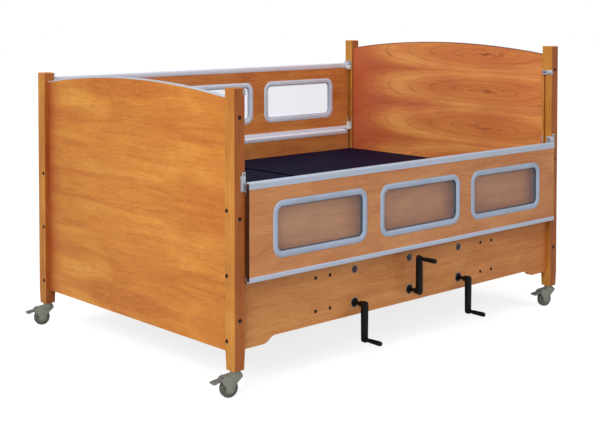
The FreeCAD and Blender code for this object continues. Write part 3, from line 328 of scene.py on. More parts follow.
def vinyl(name, colour, far):
    """Navy coated nylon cloth: a fine plain weave under a soft coating."""
    m, nt, bsdf = new_mat(name)
    t = T(nt)
    x, y, z = t.xyz(t.obj())
    wx = t.math("SINE", t.math("MULTIPLY", x, 3900.0))
    wy = t.math("SINE", t.math("MULTIPLY", y, 3900.0))
    weave = t.math("MULTIPLY", wx, wy)
    soft = t.noise(t.obj(), 5.0, 4.0, 0.55)
    fuzz = t.noise(t.obj(), 420.0, 3.0, 0.6)
    col = t.ramp(soft, [(0.3, tuple(c * 0.82 for c in colour)), (0.7, tuple(c * 1.2 for c in colour))])
    col = t.mix(t.math("MULTIPLY", fuzz, 0.35), col, far)
    t.put(bsdf.inputs["Base Color"], col)
    t.put(bsdf.inputs["Roughness"], t.math("ADD", t.math("MULTIPLY", soft, 0.12), 0.56))
    bsdf.inputs["Sheen Weight"].default_value = 0.0
    bsdf.inputs["Sheen Roughness"].default_value = 0.4
    bsdf.inputs["Specular IOR Level"].default_value = 0.05
    h = t.math("ADD", t.math("MULTIPLY", weave, 0.25), fuzz)
    t.put(bsdf.inputs["Normal"], t.bump(h, 0.22, 0.0003))
    return m


def pane_mat(name, tint, haze, alpha, painted_glow=0.0):
    """Clear acrylic sheet: a faint tinted film over what is behind it, part haze and part painted reflection; the
    emission is a painted bluish glow.
    """
    m, nt, bsdf = new_mat(name)
    t = T(nt)
    soft = t.noise(t.obj(), 4.0, 3.0, 0.5)
    t.put(bsdf.inputs["Base Color"], t.ramp(soft, [(0.3, tuple(c * 0.94 for c in tint)), (0.7, tint)]))
    bsdf.inputs["Roughness"].default_value = haze
    bsdf.inputs["Specular IOR Level"].default_value = 0.5
    bsdf.inputs["Alpha"].default_value = alpha
    # painted light: the sheet glows bluish though it is no lamp
    bsdf.inputs["Emission Color"].default_value = (0.60, 0.66, 1.0, 1.0)
    bsdf.inputs["Emission Strength"].default_value = painted_glow
    bsdf.inputs["Coat Weight"].default_value = 0.5
    bsdf.inputs["Coat Roughness"].default_value = 0.03
    return m


# side: painted shade on the posts' Y-facing faces and painted light on the X-facing ones
M_post = wood("wood_post", "Z", lin(198, 130, 56), lin(160, 92, 38), lin(214, 152, 74), 0.4, figure=0.26, pitch=120.0, depth=0.02, swirl=0.5,
              side=((1.06, 1.12, 1.0), (0.76, 0.56, 0.60)))
M_foot = wood("wood_footboard", "Y", lin(212, 138, 54), lin(190, 108, 42), lin(226, 160, 72), 1.3, figure=0.10, pitch=64.0, depth=0.10, flitch=0.47, swirl=0.45,
              fleck=0.13, streaks=0.75, edge=((1290.0 - OY) / 1000.0, (1436.0 - OY) / 1000.0, lin(150, 58, 34), 0.85))
M_head = cathedral("wood_headboard", lin(214, 130, 68), lin(186, 94, 54), lin(232, 156, 84), lin(198, 98, 62))
# end: the rail's end faces painted near black
M_near = wood("wood_near_rail", "X", lin(206, 138, 84), lin(184, 112, 62), lin(220, 156, 100), 3.7, figure=0.12, pitch=60.0, depth=0.14, coatw=0.2, spec=0.4, swirl=0.30,
              fleck=0.13, streaks=0.25, end=lin(52, 26, 16))
M_far = wood("wood_far_rail", "X", lin(212, 128, 66), lin(184, 98, 46), lin(226, 154, 84), 4.9, figure=0.16, pitch=60.0, depth=0.12, swirl=0.35, fleck=0.20)
# grad: lighter and bluer at the foot end, darker and redder at the head end
M_side = wood("wood_side_panel", "X", lin(206, 134, 76), lin(184, 108, 56), lin(222, 156, 94), 6.1, figure=0.12, pitch=58.0, depth=0.16, swirl=0.30, fleck=0.13, streaks=0.25,
              grad=((60.0 - OX) / 1000.0, (1.14, 1.30, 1.34), (2090.0 - OX) / 1000.0, (0.93, 0.83, 0.72)))

M_alu = metal("anodised_aluminium", lin(198, 208, 226), 0.45, 0.36, "X")
# painted light: a lighter, less metallic copy of the same aluminium for the far rail's channels and the far cap
M_alu_far_lit = metal("anodised_aluminium_far_painted_lighter", lin(232, 236, 250), 0.15, 0.34, "X", 0.04)
M_aluy = metal("anodised_edging", lin(206, 212, 226), 0.45, 0.36, "Y")
M_bronze = metal("bronze_edging", lin(150, 96, 70), 0.45, 0.40, "Y")
M_trim = coat("window_trim_plastic", lin(164, 178, 200), 0.34, 500.0, 0.10, 0.5, coatw=0.25)
# painted light: a lighter copy of the same trim plastic for the far rail's windows
M_trim_far_lit = coat("window_trim_plastic_far_painted_lighter", lin(214, 222, 240), 0.34, 500.0, 0.10, 0.5, coatw=0.25)
# painted shade: a dark ring lining each window's reveal, lighter on the far rail
M_reveal_shade = coat("window_reveal_painted_shade", lin(70, 78, 92), 0.40, 500.0, 0.10, 0.4)
M_reveal_shade_far = coat("window_reveal_painted_shade_far", lin(160, 168, 186), 0.40, 500.0, 0.10, 0.4)
# the tinted film on the panes is partly painted reflection; the far panes are a brighter copy with a painted glow
M_pane = pane_mat("clear_acrylic", (0.58, 0.56, 0.58), 0.12, 0.11)
M_pane_far_glow = pane_mat("clear_acrylic_far_painted_glow", (0.74, 0.79, 0.97), 0.20, 0.21, 0.14)
M_nylon = coat("white_nylon", lin(226, 226, 220), 0.45, 300.0, 0.12)
M_zinc = metal("zinc_plated_steel", lin(204, 208, 216), 0.7, 0.36, "", 0.08)
M_bolt = metal("bronzed_bolt_steel", lin(46, 32, 26), 0.6, 0.42, "", 0.20)
M_black = coat("black_powder_coat", lin(5, 5, 6), 0.42, 1100.0, 0.10, 0.20, wear=0.02, coatw=0.04)
M_grip = coat("black_moulded_grip", lin(5, 5, 6), 0.44, 700.0, 0.15, 0.20, coatw=0.03)
M_frame = coat("grey_powder_coat", lin(96, 100, 106), 0.46, 1100.0, 0.30, 0.5, wear=0.10)
M_steel = metal("machined_steel", lin(168, 170, 174), 0.95, 0.30, "Z", 0.10)
M_steelx = metal("machined_steel_x", lin(168, 170, 174), 0.95, 0.30, "X", 0.10)
M_cfork = coat("caster_zinc_grey", lin(141, 143, 132), 0.34, 260.0, 0.18, 0.6, wear=0.10, metallic=0.30)
M_tyre = coat("caster_tyre_rubber", lin(92, 94, 85), 0.50, 420.0, 0.30, 0.4, wear=0.10)
M_hub = coat("caster_hub_nylon", lin(128, 130, 121), 0.38, 420.0, 0.12, 0.5)
M_pedal = coat("caster_pedal_moulded", lin(120, 121, 119), 0.36, 300.0, 0.15, 0.5, metallic=0.2)
M_pad = vinyl("navy_coated_cloth", lin(1, 7, 39), lin(1, 4, 25))
M_pipe = vinyl("navy_piping_cloth", lin(2, 4, 25), lin(1, 3, 15))
M_plug = coat("plug_cap_plastic", lin(52, 42, 38), 0.40, 400.0, 0.12, 0.5)
M_ring = metal("bush_face_ring", lin(150, 152, 156), 0.6, 0.36, "", 0.06)


# ------------------------------------------------------------------ mesh tools
class Mesh:
    """Collects solids in millimetres (drawing axes) and makes one piece of them."""

    def __init__(self, local=None):
        self.bm = bmesh.new()
        self.local = local

    def take(self, bm):
        me = bpy.data.meshes.new("part")
        bm.to_mesh(me)
        bm.free()
        self.bm.from_mesh(me)
        bpy.data.meshes.remove(me)

    def rbox(self, x0, x1, y0, y1, z0, z1, r=1.0, seg=2, rot=None, about=None):
        bm = bmesh.new()
        bmesh.ops.create_cube(bm, size=1.0)
        c = Vector(((x0 + x1) / 2, (y0 + y1) / 2, (z0 + z1) / 2))
        s = Vector((abs(x1 - x0), abs(y1 - y0), abs(z1 - z0)))
        for v in bm.verts:
            v.co = Vector((v.co.x * s.x, v.co.y * s.y, v.co.z * s.z)) + c
        r = min(r, 0.49 * min(s))
        if r > 0:
            bmesh.ops.bevel(bm, geom=list(bm.edges), offset=r, segments=seg, profile=0.5, affect="EDGES")
        if rot is not None:
            bmesh.ops.rotate(bm, verts=bm.verts, cent=about, matrix=rot)
        self.take(bm)

    def prism(self, pts, axis, lo, hi, r=0.0, seg=2, angle=25.0):
        bm = bmesh.new()

        def at(p, t_):
            u, v = p
            return {"X": (t_, u, v), "Y": (u, t_, v), "Z": (u, v, t_)}[axis]

        lo, hi = min(lo, hi), max(lo, hi)
        a = [bm.verts.new(at(p, lo)) for p in pts]
        b = [bm.verts.new(at(p, hi)) for p in pts]
        bm.faces.new(a)
        bm.faces.new(b[::-1])
        n = len(pts)
        for i in range(n):
            bm.faces.new((a[i], b[i], b[(i + 1) % n], a[(i + 1) % n]))
        bmesh.ops.recalc_face_normals(bm, faces=bm.faces)
        if r > 0:
            es = [e for e in bm.edges if e.calc_face_angle(0) > math.radians(angle)]
            bmesh.ops.bevel(bm, geom=es, offset=r, segments=seg, profile=0.5, affect="EDGES", clamp_overlap=True)
        self.take(bm)

    def lathe(self, axis, a, b, prof, n=32, closed=False):
        """prof: (place along the axis, radius); a radius of 0 closes an end."""
        bm = bmesh.new()

        def at(t_, r, k):
            u, v = a + r * math.cos(k), b + r * math.sin(k)
            return {"X": (t_, u, v), "Y": (u, t_, v), "Z": (u, v, t_)}[axis]

        rings = []
        for t_, r in prof:
            if r <= 1e-6:
                rings.append([bm.verts.new(at(t_, 0, 0))])
            else:
                rings.append([bm.verts.new(at(t_, r, 2 * math.pi * i / n)) for i in range(n)])
        pairs = list(zip(rings, rings[1:]))
        if closed:
            pairs.append((rings[-1], rings[0]))
        for p, q_ in pairs:
            for i in range(n):
                j = (i + 1) % n
                if len(p) == 1 and len(q_) == 1:
                    continue
                if len(p) == 1:
                    bm.faces.new((p[0], q_[j], q_[i]))
                elif len(q_) == 1:
                    bm.faces.new((p[i], p[j], q_[0]))
                else:
                    bm.faces.new((p[i], p[j], q_[j], q_[i]))
        bmesh.ops.recalc_face_normals(bm, faces=bm.faces)
        self.take(bm)

    def rloop(self, bm, cx, cz, hx, hz, rad, y, n=10):
        vs = []
        rad = max(rad, 0.01)
        for k, (sx, sz) in enumerate(((1, 1), (-1, 1), (-1, -1), (1, -1))):
            for i in range(n + 1):
                t_ = math.pi / 2 * (k + i / n)
                vs.append(bm.verts.new((cx + sx * (hx - rad) + rad * math.cos(t_), y, cz + sz * (hz - rad) + rad * math.sin(t_))))
        return vs

    def ring(self, cx, cz, hx, hz, rad, prof):
        """A frame of section prof, (inset, y) pairs in a closed loop, round a rounded rectangle."""
        bm = bmesh.new()
        loops = [self.rloop(bm, cx, cz, hx - i, hz - i, rad - i, y) for i, y in prof]
        for p, q_ in zip(loops, loops[1:] + loops[:1]):
            n = len(p)
            for i in range(n):
                j = (i + 1) % n
                bm.faces.new((p[i], p[j], q_[j], q_[i]))
        bmesh.ops.recalc_face_normals(bm, faces=bm.faces)
        self.take(bm)

    def plate(self, cx, cz, hx, hz, rad, y0, y1, soft=0.8):
        bm = bmesh.new()
        loops = [self.rloop(bm, cx, cz, hx - i, hz - i, rad - i, y)
                 for i, y in ((soft, y0), (0, y0 + soft), (0, y1 - soft), (soft, y1))]
        for p, q_ in zip(loops, loops[1:]):
            n = len(p)
            for i in range(n):
                j = (i + 1) % n
                bm.faces.new((p[i], p[j], q_[j], q_[i]))
        bm.faces.new(loops[0])
        bm.faces.new(loops[-1][::-1])
        bmesh.ops.recalc_face_normals(bm, faces=bm.faces)
        self.take(bm)

    def piece(self, name, mat, body, replaces=(), slot=None, angle=34.0):
        bm = self.bm
        for f in bm.faces:
            f.smooth = True
        for e in bm.edges:
            if len(e.link_faces) == 2 and e.calc_face_angle(0) > math.radians(angle):
                e.smooth = False
        for v in bm.verts:
            p = self.local @ v.co if self.local is not None else v.co
            v.co = M(*p)
        me = bpy.data.meshes.new(name)
        bm.to_mesh(me)
        bm.free()
        o = bpy.data.objects.new(name, me)
        scene.collection.objects.link(o)
        me.materials.append(mat)
        if body:
            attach(o, body)
        if replaces:
            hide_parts(*replaces)
        return o


def arc(cx, cy, r, a0, a1, n):
    return [(cx + r * math.cos(math.radians(a0 + (a1 - a0) * i / n)), cy + r * math.sin(math.radians(a0 + (a1 - a0) * i / n)))
            for i in range(n + 1)]


def paint(mat, *names):
    for n in names:
        me = nodes[n].data
        me.materials.clear()
        me.materials.append(mat)


paint(M_post, "post_foot_near", "post_foot_far", "post_head_near", "post_head_far")
paint(M_foot, "footboard")
paint(M_head, "headboard")
paint(M_near, "rail_near_panel")
paint(M_far, "rail_far_panel")
paint(M_side, "side_panel_near", "side_panel_far")
paint(M_frame, "crank_gear_cases", "deck_frame", "deck_gear_cases", "back_section",
      "thigh_section", "calf_section", "knee_lift_arm", "head_lift_arm")
paint(M_steel, "lift_screw_foot", "lift_screw_head", "knee_drive_shaft", "head_drive_shaft")
paint(M_steelx, "lift_line_shaft")

# ------------------------------------------------------------------ lift base weldment
m = Mesh()
for bx in (505.0, 1600.0):
    for y0, y1 in ((103.0, 723.0), (767.0, W - 103.0)):
        m.rbox(bx - 27, bx + 27, y0, y1, 222, 292, 3.0, 3)
    m.rbox(bx - 27, bx + 27, 722, 768, 222, 236, 1.0, 2)
    for s_ in (-1, 1):
        xs = sorted((bx + 27 * s_, bx + 12.6 * s_))
        m.rbox(xs[0], xs[1], 722, 768, 284, 292, 1.0, 2)
        xs = sorted((bx + 27 * s_, bx + 22 * s_))
        m.rbox(xs[0], xs[1], 722, 768, 235, 251.4, 0.6, 1)
        m.rbox(xs[0], xs[1], 722, 768, 268.6, 285, 0.6, 1)
    for far in (0, 1):
        ys = sorted((my(48.0, far), my(53.2, far)))
        m.rbox(bx - 60, bx + 60, ys[0], ys[1], 240, 425, 1.6, 2)
        for x0, x1, y0, y1 in ((-25, -21, -25, 25), (21, 25, -25, 25), (-21.5, 21.5, -25, -21), (-21.5, 21.5, 21, 25)):
            ys = sorted((my(78.0 + y0, far), my(78.0 + y1, far)))
            m.rbox(bx + x0, bx + x1, ys[0], ys[1], 206, 462, 0.8, 2)
m.rbox(505, 1600, 715, 775, 206, 222.6, 3.0, 3)
m.piece("lift_base_weldment", M_frame, "frame", ("lift_base_frame",), "deck_steel")

# ------------------------------------------------------------------ metal edging and caps
for spring, x0 in ((1176.0, 24.0), (1291.0, L - 24.0 - 22.0)):
    m = Mesh()
    rad = 4954.333333
    zc = spring + 48.0 - rad
    n = 96
    sec = [(0.0, 0.15), (0.0, 3.2), (0.7, 4.5), (2.2, 5.0), (19.8, 5.0), (21.3, 4.5), (22.0, 3.2), (22.0, 0.15)]
    bm = bmesh.new()
    rows = []
    for i in range(n + 1):
        y = S + 0.2 + (W - 2 * S - 0.4) * i / n
        z = zc + math.sqrt(rad * rad - (y - W / 2) ** 2)
        rows.append([bm.verts.new((x0 + u, y, z + v)) for u, v in sec])
    for p, q_ in zip(rows, rows[1:]):
        for i in range(len(sec)):
            j = (i + 1) % len(sec)
            bm.faces.new((p[i], p[j], q_[j], q_[i]))
    bm.faces.new(rows[0])
    bm.faces.new(rows[-1][::-1])
    bmesh.ops.recalc_face_normals(bm, faces=bm.faces)
    m.take(bm)
    if x0 < 1000.0:
        m.piece("footboard_edging", M_aluy, "frame", ("metal_edge_caps",), "edge_metal")
    else:
        m.piece("headboard_edging", M_bronze, "frame", (), "edge_metal")

for far in (0, 1):
    m = Mesh()
    y0, y1, z0, z1 = 24.0, 50.0, 781.0, 803.0
    r = 4.0
    pts = [(y0, z0 + 1), (y0 + 0.6, z0), (26.0 - 0.4, z0), (26.0, z0 + 0.6), (26.0, 785.05), (48.0, 785.05), (48.0, z0 + 0.6), (48.4, z0), (y1 - 0.6, z0), (y1, z0 + 1)]
    pts += arc(y1 - r, z1 - r, r, 0, 90, 5) + arc(y0 + r, z1 - r, r, 90, 180, 5)
    if far:
        pts = [(W - y, z) for y, z in pts][::-1]
    m.prism(pts, "X", 92.0, L - 92.0)
    m.piece("side_panel_cap_far" if far else "side_panel_cap_near", M_alu_far_lit if far else M_alu, "frame", (), "edge_metal")

# ------------------------------------------------------------------ safety rails
WINX, WINZ, WRAD = 269.5, 116.5, 52.0


def rail(side, far, low, step):
    body = side + "_rail"
    fr, bk = -22.0 + step, -4.0 + step
    Y = lambda y: my(y, far)
    m_ = Mesh()
    for top in (0, 1):
        o0, o1 = fr - 2.0, bk + 1.4
        if top:
            z0, z1 = low + 371.0, low + 400.0
            r = 6.0
            pts = [(o0, z0 + 1.0), (o0 + 0.6, z0), (fr, z0), (fr, z1 - 6.0), (bk, z1 - 6.0), (bk, z0), (o1 - 0.5, z0), (o1, z0 + 1.0)]
            pts += arc(o1 - r, z1 - r, r, 0, 90, 6) + arc(o0 + r, z1 - r, r, 90, 180, 6)
        else:
            z0, z1 = low, low + 22.0
            r = 6.0
            pts = [(o1, z1 - 1.0), (o1 - 0.5, z1), (bk, z1), (bk, z0 + 6.0), (fr, z0 + 6.0), (fr, z1), (o0 + 0.6, z1), (o0, z1 - 1.0)]
            pts += arc(o0 + r, z0 + r, r, 180, 270, 6) + arc(o1 - r, z0 + r, r, 270, 360, 6)
        pts = [(Y(y), z) for y, z in pts]
        m_.prism(pts, "X", 60.0, L - 60.0)
    for head in (0, 1):
        for zp in (low + 11.0, low + 380.0):
            ys = (Y(bk + 1.4), Y(32.5 + step))
            sg = 1 if ys[1] > ys[0] else -1
            m_.lathe("Y", mx(66.0, head), zp, [(ys[0], 0), (ys[0], 4.0), (ys[1] - sg * 1.2, 4.0), (ys[1], 3.0), (ys[1], 0)], 20)
    m_.piece("rail_%s_extrusions" % side, M_alu_far_lit if far else M_alu, body, ("rail_%s_channels" % side,), "edge_metal")

    # slide shoes in the posts' grooves
    m_ = Mesh()
    for head in (0, 1):
        for z0, tall, zp in ((low, 46.0, low + 11.0), (low + 362.0, 26.0, low + 380.0)):
            ys = sorted((Y(27.0), Y(50.0)))
            z1, rh = z0 + tall, 4.15
            # two halves round the pin's hole, with softened outer corners
            half = [(66.0, z0), (66.0, zp - rh)] + arc(66.0, zp, rh, 270, 90, 12)[1:-1] + [(66.0, zp + rh), (66.0, z1)]
            half += arc(S + 2.5, z1 - 2.0, 2.0, 90, 180, 4) + arc(S + 2.5, z0 + 2.0, 2.0, 180, 270, 4)
            m_.prism([(mx(u, head), v) for u, v in half], "Y", ys[0], ys[1])
            half = [(66.0, z1), (66.0, zp + rh)] + arc(66.0, zp, rh, 90, -90, 12)[1:-1] + [(66.0, zp - rh), (66.0, z0)]
            half += arc(70.0, z0 + 2.0, 2.0, 270, 360, 4) + arc(70.0, z1 - 2.0, 2.0, 0, 90, 4)
            m_.prism([(mx(u, head), v) for u, v in half], "Y", ys[0], ys[1])
            xs = sorted((mx(S - 9.0, head), mx(S + 1.5, head)))
            ys = sorted((Y(30.0), Y(44.0)))
            m_.rbox(xs[0], xs[1], ys[0], ys[1], z0 + 1, z0 + tall - 1, 1.2, 2)
    m_.piece("rail_%s_slide_shoes" % side, M_nylon, side + "_shoes", ("rail_%s_shoes" % side,), "nylon")

    # window surrounds and panes
    m_, p_, g_ = Mesh(), Mesh(), Mesh()
    zc = low + 196.5
    for k in (-1, 0, 1):
        cx = L / 2 + 621.0 * k
        out, inn = 5.0, 2.6
        prof = []
        for i in range(9):
            u = i / 8.0
            prof.append((26.0 * u, fr - out * math.sin(math.pi * (0.10 + 0.86 * u)) ** 0.55 if 0 < i < 8 else fr - 0.4))
        prof += [(26.6, fr + 1.5), (26.6, bk - 1.0)]
        for i in range(7):
            u = 1 - i / 6.0
            prof.append((26.0 * u, bk + inn * math.sin(math.pi * (0.10 + 0.80 * u)) ** 0.6 if 0 < i < 6 else bk + 0.3))
        prof += [(0.3, bk + 0.02), (12.05, bk + 0.02), (12.05, fr - 0.02), (0.3, fr - 0.02)]
        m_.ring(cx, zc, WINX, WINZ, WRAD, [(i, Y(y)) for i, y in prof])
        # a dark ring lining the reveal inside the trim: painted shade
        g_.ring(cx, zc, WINX, WINZ, WRAD, [(i, Y(y)) for i, y in ((26.2, fr + 0.6), (28.4, fr + 1.4), (28.8, fr + 3.0), (28.8, bk - 2.0), (28.4, bk - 0.8), (26.2, bk - 0.2))])
        yp = (fr + bk) / 2
        ys = sorted((Y(yp - 2.0), Y(yp + 2.0)))
        p_.plate(cx, zc, WINX - 26.4, WINZ - 26.4, WRAD - 26.4, ys[0], ys[1])
    m_.piece("rail_%s_window_surrounds" % side, M_trim_far_lit if far else M_trim, body, ("rail_%s_window_trims" % side,), "trim_plastic", 50.0)
    g_.piece("rail_%s_window_reveal_shade_rings" % side, M_reveal_shade_far if far else M_reveal_shade, body, (), "trim_plastic", 50.0)
    p_.piece("rail_%s_window_sheets" % side, M_pane_far_glow if far else M_pane, body, ("rail_%s_window_panes" % side,), "clear_pane")


rail("near", 0, 450.0, 0.0)
rail("far", 1, 803.0, 26.0)

# brackets and latches
m = Mesh()
for head in (0, 1):
    for far in (0, 1):
        def B(x0, x1, y0, y1, z0, z1, r=0.6, mesh=None):
            xs, ys = sorted((mx(x0, head), mx(x1, head))), sorted((my(y0, far), my(y1, far)))
            (mesh or m).rbox(xs[0], xs[1], ys[0], ys[1], z0, z1, r, 2)

        B(S - 0.2, S + 12, 26, 54, 1193, 1196)
        B(S - 0.2, S + 12, 26, 54, 1213, 1216)
        B(S, S + 2.5, -1.6, 54, 1193, 1216)
        B(S - 11, S + 2.5, -1.8, 0, 1193, 1216)
        B(S - 24, S, -1.8, 0, 812, 876)
        B(S - 24, S - 21.6, -4.6, -0.6, 812, 866, 0.5)
        B(S - 2.4, S, -4.6, -0.6, 812, 827, 0.5)
        B(S - 2.4, S, -4.6, -0.6, 849, 866, 0.5)
        # the plate's return on the post's inner face
        B(S - 0.2, S + 1.6, -1.8, 26, 812, 878)
        B(S - 0.2, S + 1.6, 51, 57, 812, 878)
m.piece("rail_post_brackets", M_zinc, "frame", ("rail_brackets",), "bright_steel")
m = Mesh()
for head in (0, 1):
    for far in (0, 1):
        # thin dark inlays standing for the slots in the latch plate, their dark colour painted shade of the recess, and
        # the screws of both brackets
        B(S + 1.4, S + 1.9, 8, 11.5, 824, 866, 0.1)
        B(S + 1.4, S + 1.9, 8, 20, 861, 866, 0.1)
        B(S + 1.4, S + 1.9, 8, 17, 845, 849, 0.1)
        sg = -1 if head else 1
        for yy, zz in ((38.0, 1204.5), (50.0, 1204.5)):
            x0 = mx(S + 2.4, head)
            m.lathe("X", my(yy, far), zz, [(x0, 0), (x0, 3.6), (x0 + sg * 0.8, 3.4), (x0 + sg * 1.5, 2.0), (x0 + sg * 1.6, 0)], 16)
        for xx, zz in ((S - 6.0, 1198.0), (S - 6.0, 1211.0)):
            y0, sy = my(-1.7, far), (1 if far else -1)
            m.lathe("Y", mx(xx, head), zz, [(y0, 0), (y0, 2.8), (y0 + sy * 0.8, 2.5), (y0 + sy * 1.2, 1.6), (y0 + sy * 1.3, 0)], 16)
m.piece("rail_bracket_screws_and_painted_slots", M_bolt, "frame", (), "painted_steel")

for far, side in ((0, "near"), (1, "far")):
    m = Mesh()
    for head in (0, 1):
        def B(x0, x1, y0, y1, z0, z1, r=0.6):
            xs, ys = sorted((mx(x0, head), mx(x1, head))), sorted((my(y0, far), my(y1, far)))
            m.rbox(xs[0], xs[1], ys[0], ys[1], z0, z1, r, 2)

        B(S - 21, S - 3.2, -4.2, -2.0, 816, 874, 0.6)
        B(S - 21, S - 15, -8, -2.0, 866, 890, 1.4)
        B(S - 21, S - 3, -8, -2.0, 885, 890, 1.8)
        B(S - 8, S - 3, -8, -2.0, 878, 890, 1.4)
        B(S - 7, S + 1.5, -4.2, -2.0, 828, 838, 0.6)
    m.piece("rail_%s_latch_hooks" % side, M_zinc, side + "_latch", ("rail_%s_latches" % side,), "bright_steel")

# ------------------------------------------------------------------ bolts, plugs and bushes
m = Mesh()
END, SIDE_F, SIDE_H = (738, 480, 220), (1106, 707, 305), (1218, 762, 305)
END_OFF, SIDE_OFF = 46.0, 29.0


def bolt(axis, a, b, face, out, r):
    """Round-head bolt with a hex socket on a face that looks towards out."""
    prof = [(0.0, 0), (0.0, r + 0.8), (0.7, r + 0.8), (0.9, r + 0.2), (1.5, r), (2.5, r * 0.84), (3.1, r * 0.62), (3.2, r * 0.46)]
    prof += [(3.0, r * 0.40), (1.4, r * 0.38), (1.3, 0)]
    m.lathe(axis, a, b, [(face + out * t_, q_) for t_, q_ in prof], 18)
    m.lathe(axis, a, b, [(face + out * 0.02, 0), (face + out * 0.02, 4.0), (face - out * 26, 4.0), (face - out * 28, 2.6), (face - out * 28, 0)], 12)


for head in (0, 1):
    for far in (0, 1):
        for h in END:
            bolt("X", my(END_OFF, far), h, mx(0, head), 1 if head else -1, 7.8)
        for h in (SIDE_H if head else SIDE_F):
            bolt("Y", mx(SIDE_OFF, head), h, my(0, far), 1 if far else -1, 7.8)
for far in (0, 1):
    for bx in (505.0, 1600.0):
        for dx in (-42, 42):
            for z in (261, 402):
                bolt("Y", bx + dx, z, my(26.0, far), 1 if far else -1, 7.2)
m.piece("frame_bolt_heads", M_bolt, "frame", ("frame_bolts",), "painted_steel")

m = Mesh()
for cx in (695.0, 1047.0, 1392.0):
    r0 = 8.06
    prof = [(48.0, r0), (48.0, 12.0), (26.0, 12.0), (26.0, 18.6), (25.4, 19.0), (22.4, 19.0), (21.4, 18.0), (21.0, 15.0),
            (17.6, 14.0), (17.0, 13.0), (17.0, r0)]
    m.lathe("Y", cx, 260.0, prof, 36, closed=True)
m.piece("crank_flange_bushes", M_black, "frame", ("crank_bushes",), "painted_steel")

m = Mesh()
for cx in (695.0, 1047.0, 1392.0):
    m.lathe("Y", cx, 404.0, [(30.0, 0), (30.0, 10.6), (25.9, 10.6), (25.9, 15.2), (24.9, 15.6), (24.0, 14.6), (23.7, 12.6), (23.3, 11.6), (23.0, 6.0), (22.9, 0)], 32)
m.piece("plug_caps", M_plug, "frame", (), "painted_steel")
m = Mesh()
for cx in (695.0, 1047.0, 1392.0):
    m.lathe("Y", cx, 404.0, [(25.8, 15.7), (25.8, 17.4), (24.6, 17.2), (24.3, 16.2), (24.8, 15.7)], 32, closed=True)
    m.lathe("Y", cx, 260.0, [(25.8, 19.2), (25.8, 22.0), (24.4, 21.8), (24.0, 20.4), (24.6, 19.2)], 36, closed=True)
m.piece("boss_rings", M_ring, "frame", (), "bright_steel")


# ------------------------------------------------------------------ cranks
def crank(tag, cx, up, end_y, cone_r, cone_r2):
    s = 1 if up else -1
    yc, z0 = -35.0, 260.0
    ze = z0 + 150.0 * s
    m_ = Mesh()
    # arm: a flat bar with round ends, then the sleeve, the shaft and its bevel wheel
    a0 = 0 if up else 180
    pts = arc(cx, ze, 13.5, a0, a0 + 180, 14) + arc(cx, z0, 15.5, a0 + 180, a0 + 360, 14)
    m_.prism(pts, "Y", yc - 10.5, yc + 10.5, 3.6, 3, 60.0)
    m_.lathe("Y", cx, z0, [(yc - 13.4, 0), (yc - 13.4, 8.0), (yc - 12.6, 10.0), (yc - 10.0, 10.8), (yc - 10.0, 0)], 28)
    m_.lathe("Y", cx, z0, [(yc + 9.0, 0), (yc + 9.0, 14.4), (yc + 12.0, 13.8), (-14.0, 13.2), (-12.0, 13.6), (-11.0, 12.6), (-11.0, 8.0), (end_y - 14.0, 8.0), (end_y - 10.0, cone_r), (end_y - 9.0, cone_r), (end_y, cone_r2), (end_y, 0)], 32)
    m_.lathe("Y", cx, ze, [(yc - 10.0, 0), (yc - 10.0, 10.0), (yc - 12.4, 10.2), (yc - 13.4, 9.2), (yc - 13.6, 4.0), (yc - 91.0, 4.0), (yc - 93.0, 3.0), (yc - 93.0, 0)], 24)
    m_.piece("crank_%s_handle" % tag, M_black, tag + "_crank", ("crank_" + tag,), "painted_steel")
    g_ = Mesh()
    y1 = yc - 14.2
    ri = 4.1
    prof = [(y1, ri), (y1, 7.4), (y1 - 1.0, 8.6), (y1 - 5.0, 9.2), (y1 - 8.0, 8.2), (y1 - 10.0, 8.4), (y1 - 22.0, 9.6), (y1 - 45.0, 10.0),
            (y1 - 64.0, 10.6), (y1 - 74.0, 10.8), (y1 - 80.0, 10.2), (y1 - 83.4, 8.2), (y1 - 84.8, 5.0), (y1 - 84.8, 2.0),
            (y1 - 84.6, 0)]
    g_.lathe("Y", cx, ze, prof + [] , 36)
    g_.lathe("Y", cx, ze, [(y1 - 0.02, ri), (y1 - 80.0, ri), (y1 - 80.0, 0)], 36)
    g_.bm.faces.ensure_lookup_table()
    bmesh.ops.remove_doubles(g_.bm, verts=g_.bm.verts, dist=0.05)
    bmesh.ops.recalc_face_normals(g_.bm, faces=g_.bm.faces)
    g_.piece("crank_%s_grip" % tag, M_grip, tag + "_grip", ("grip_" + tag,), "grip_rubber")


crank("knee", 695.0, False, 108.0, 19.0, 9.0)
crank("lift", 1047.0, True, 732.0, 20.0, 10.0)
crank("head", 1392.0, False, 108.0, 19.0, 9.0)


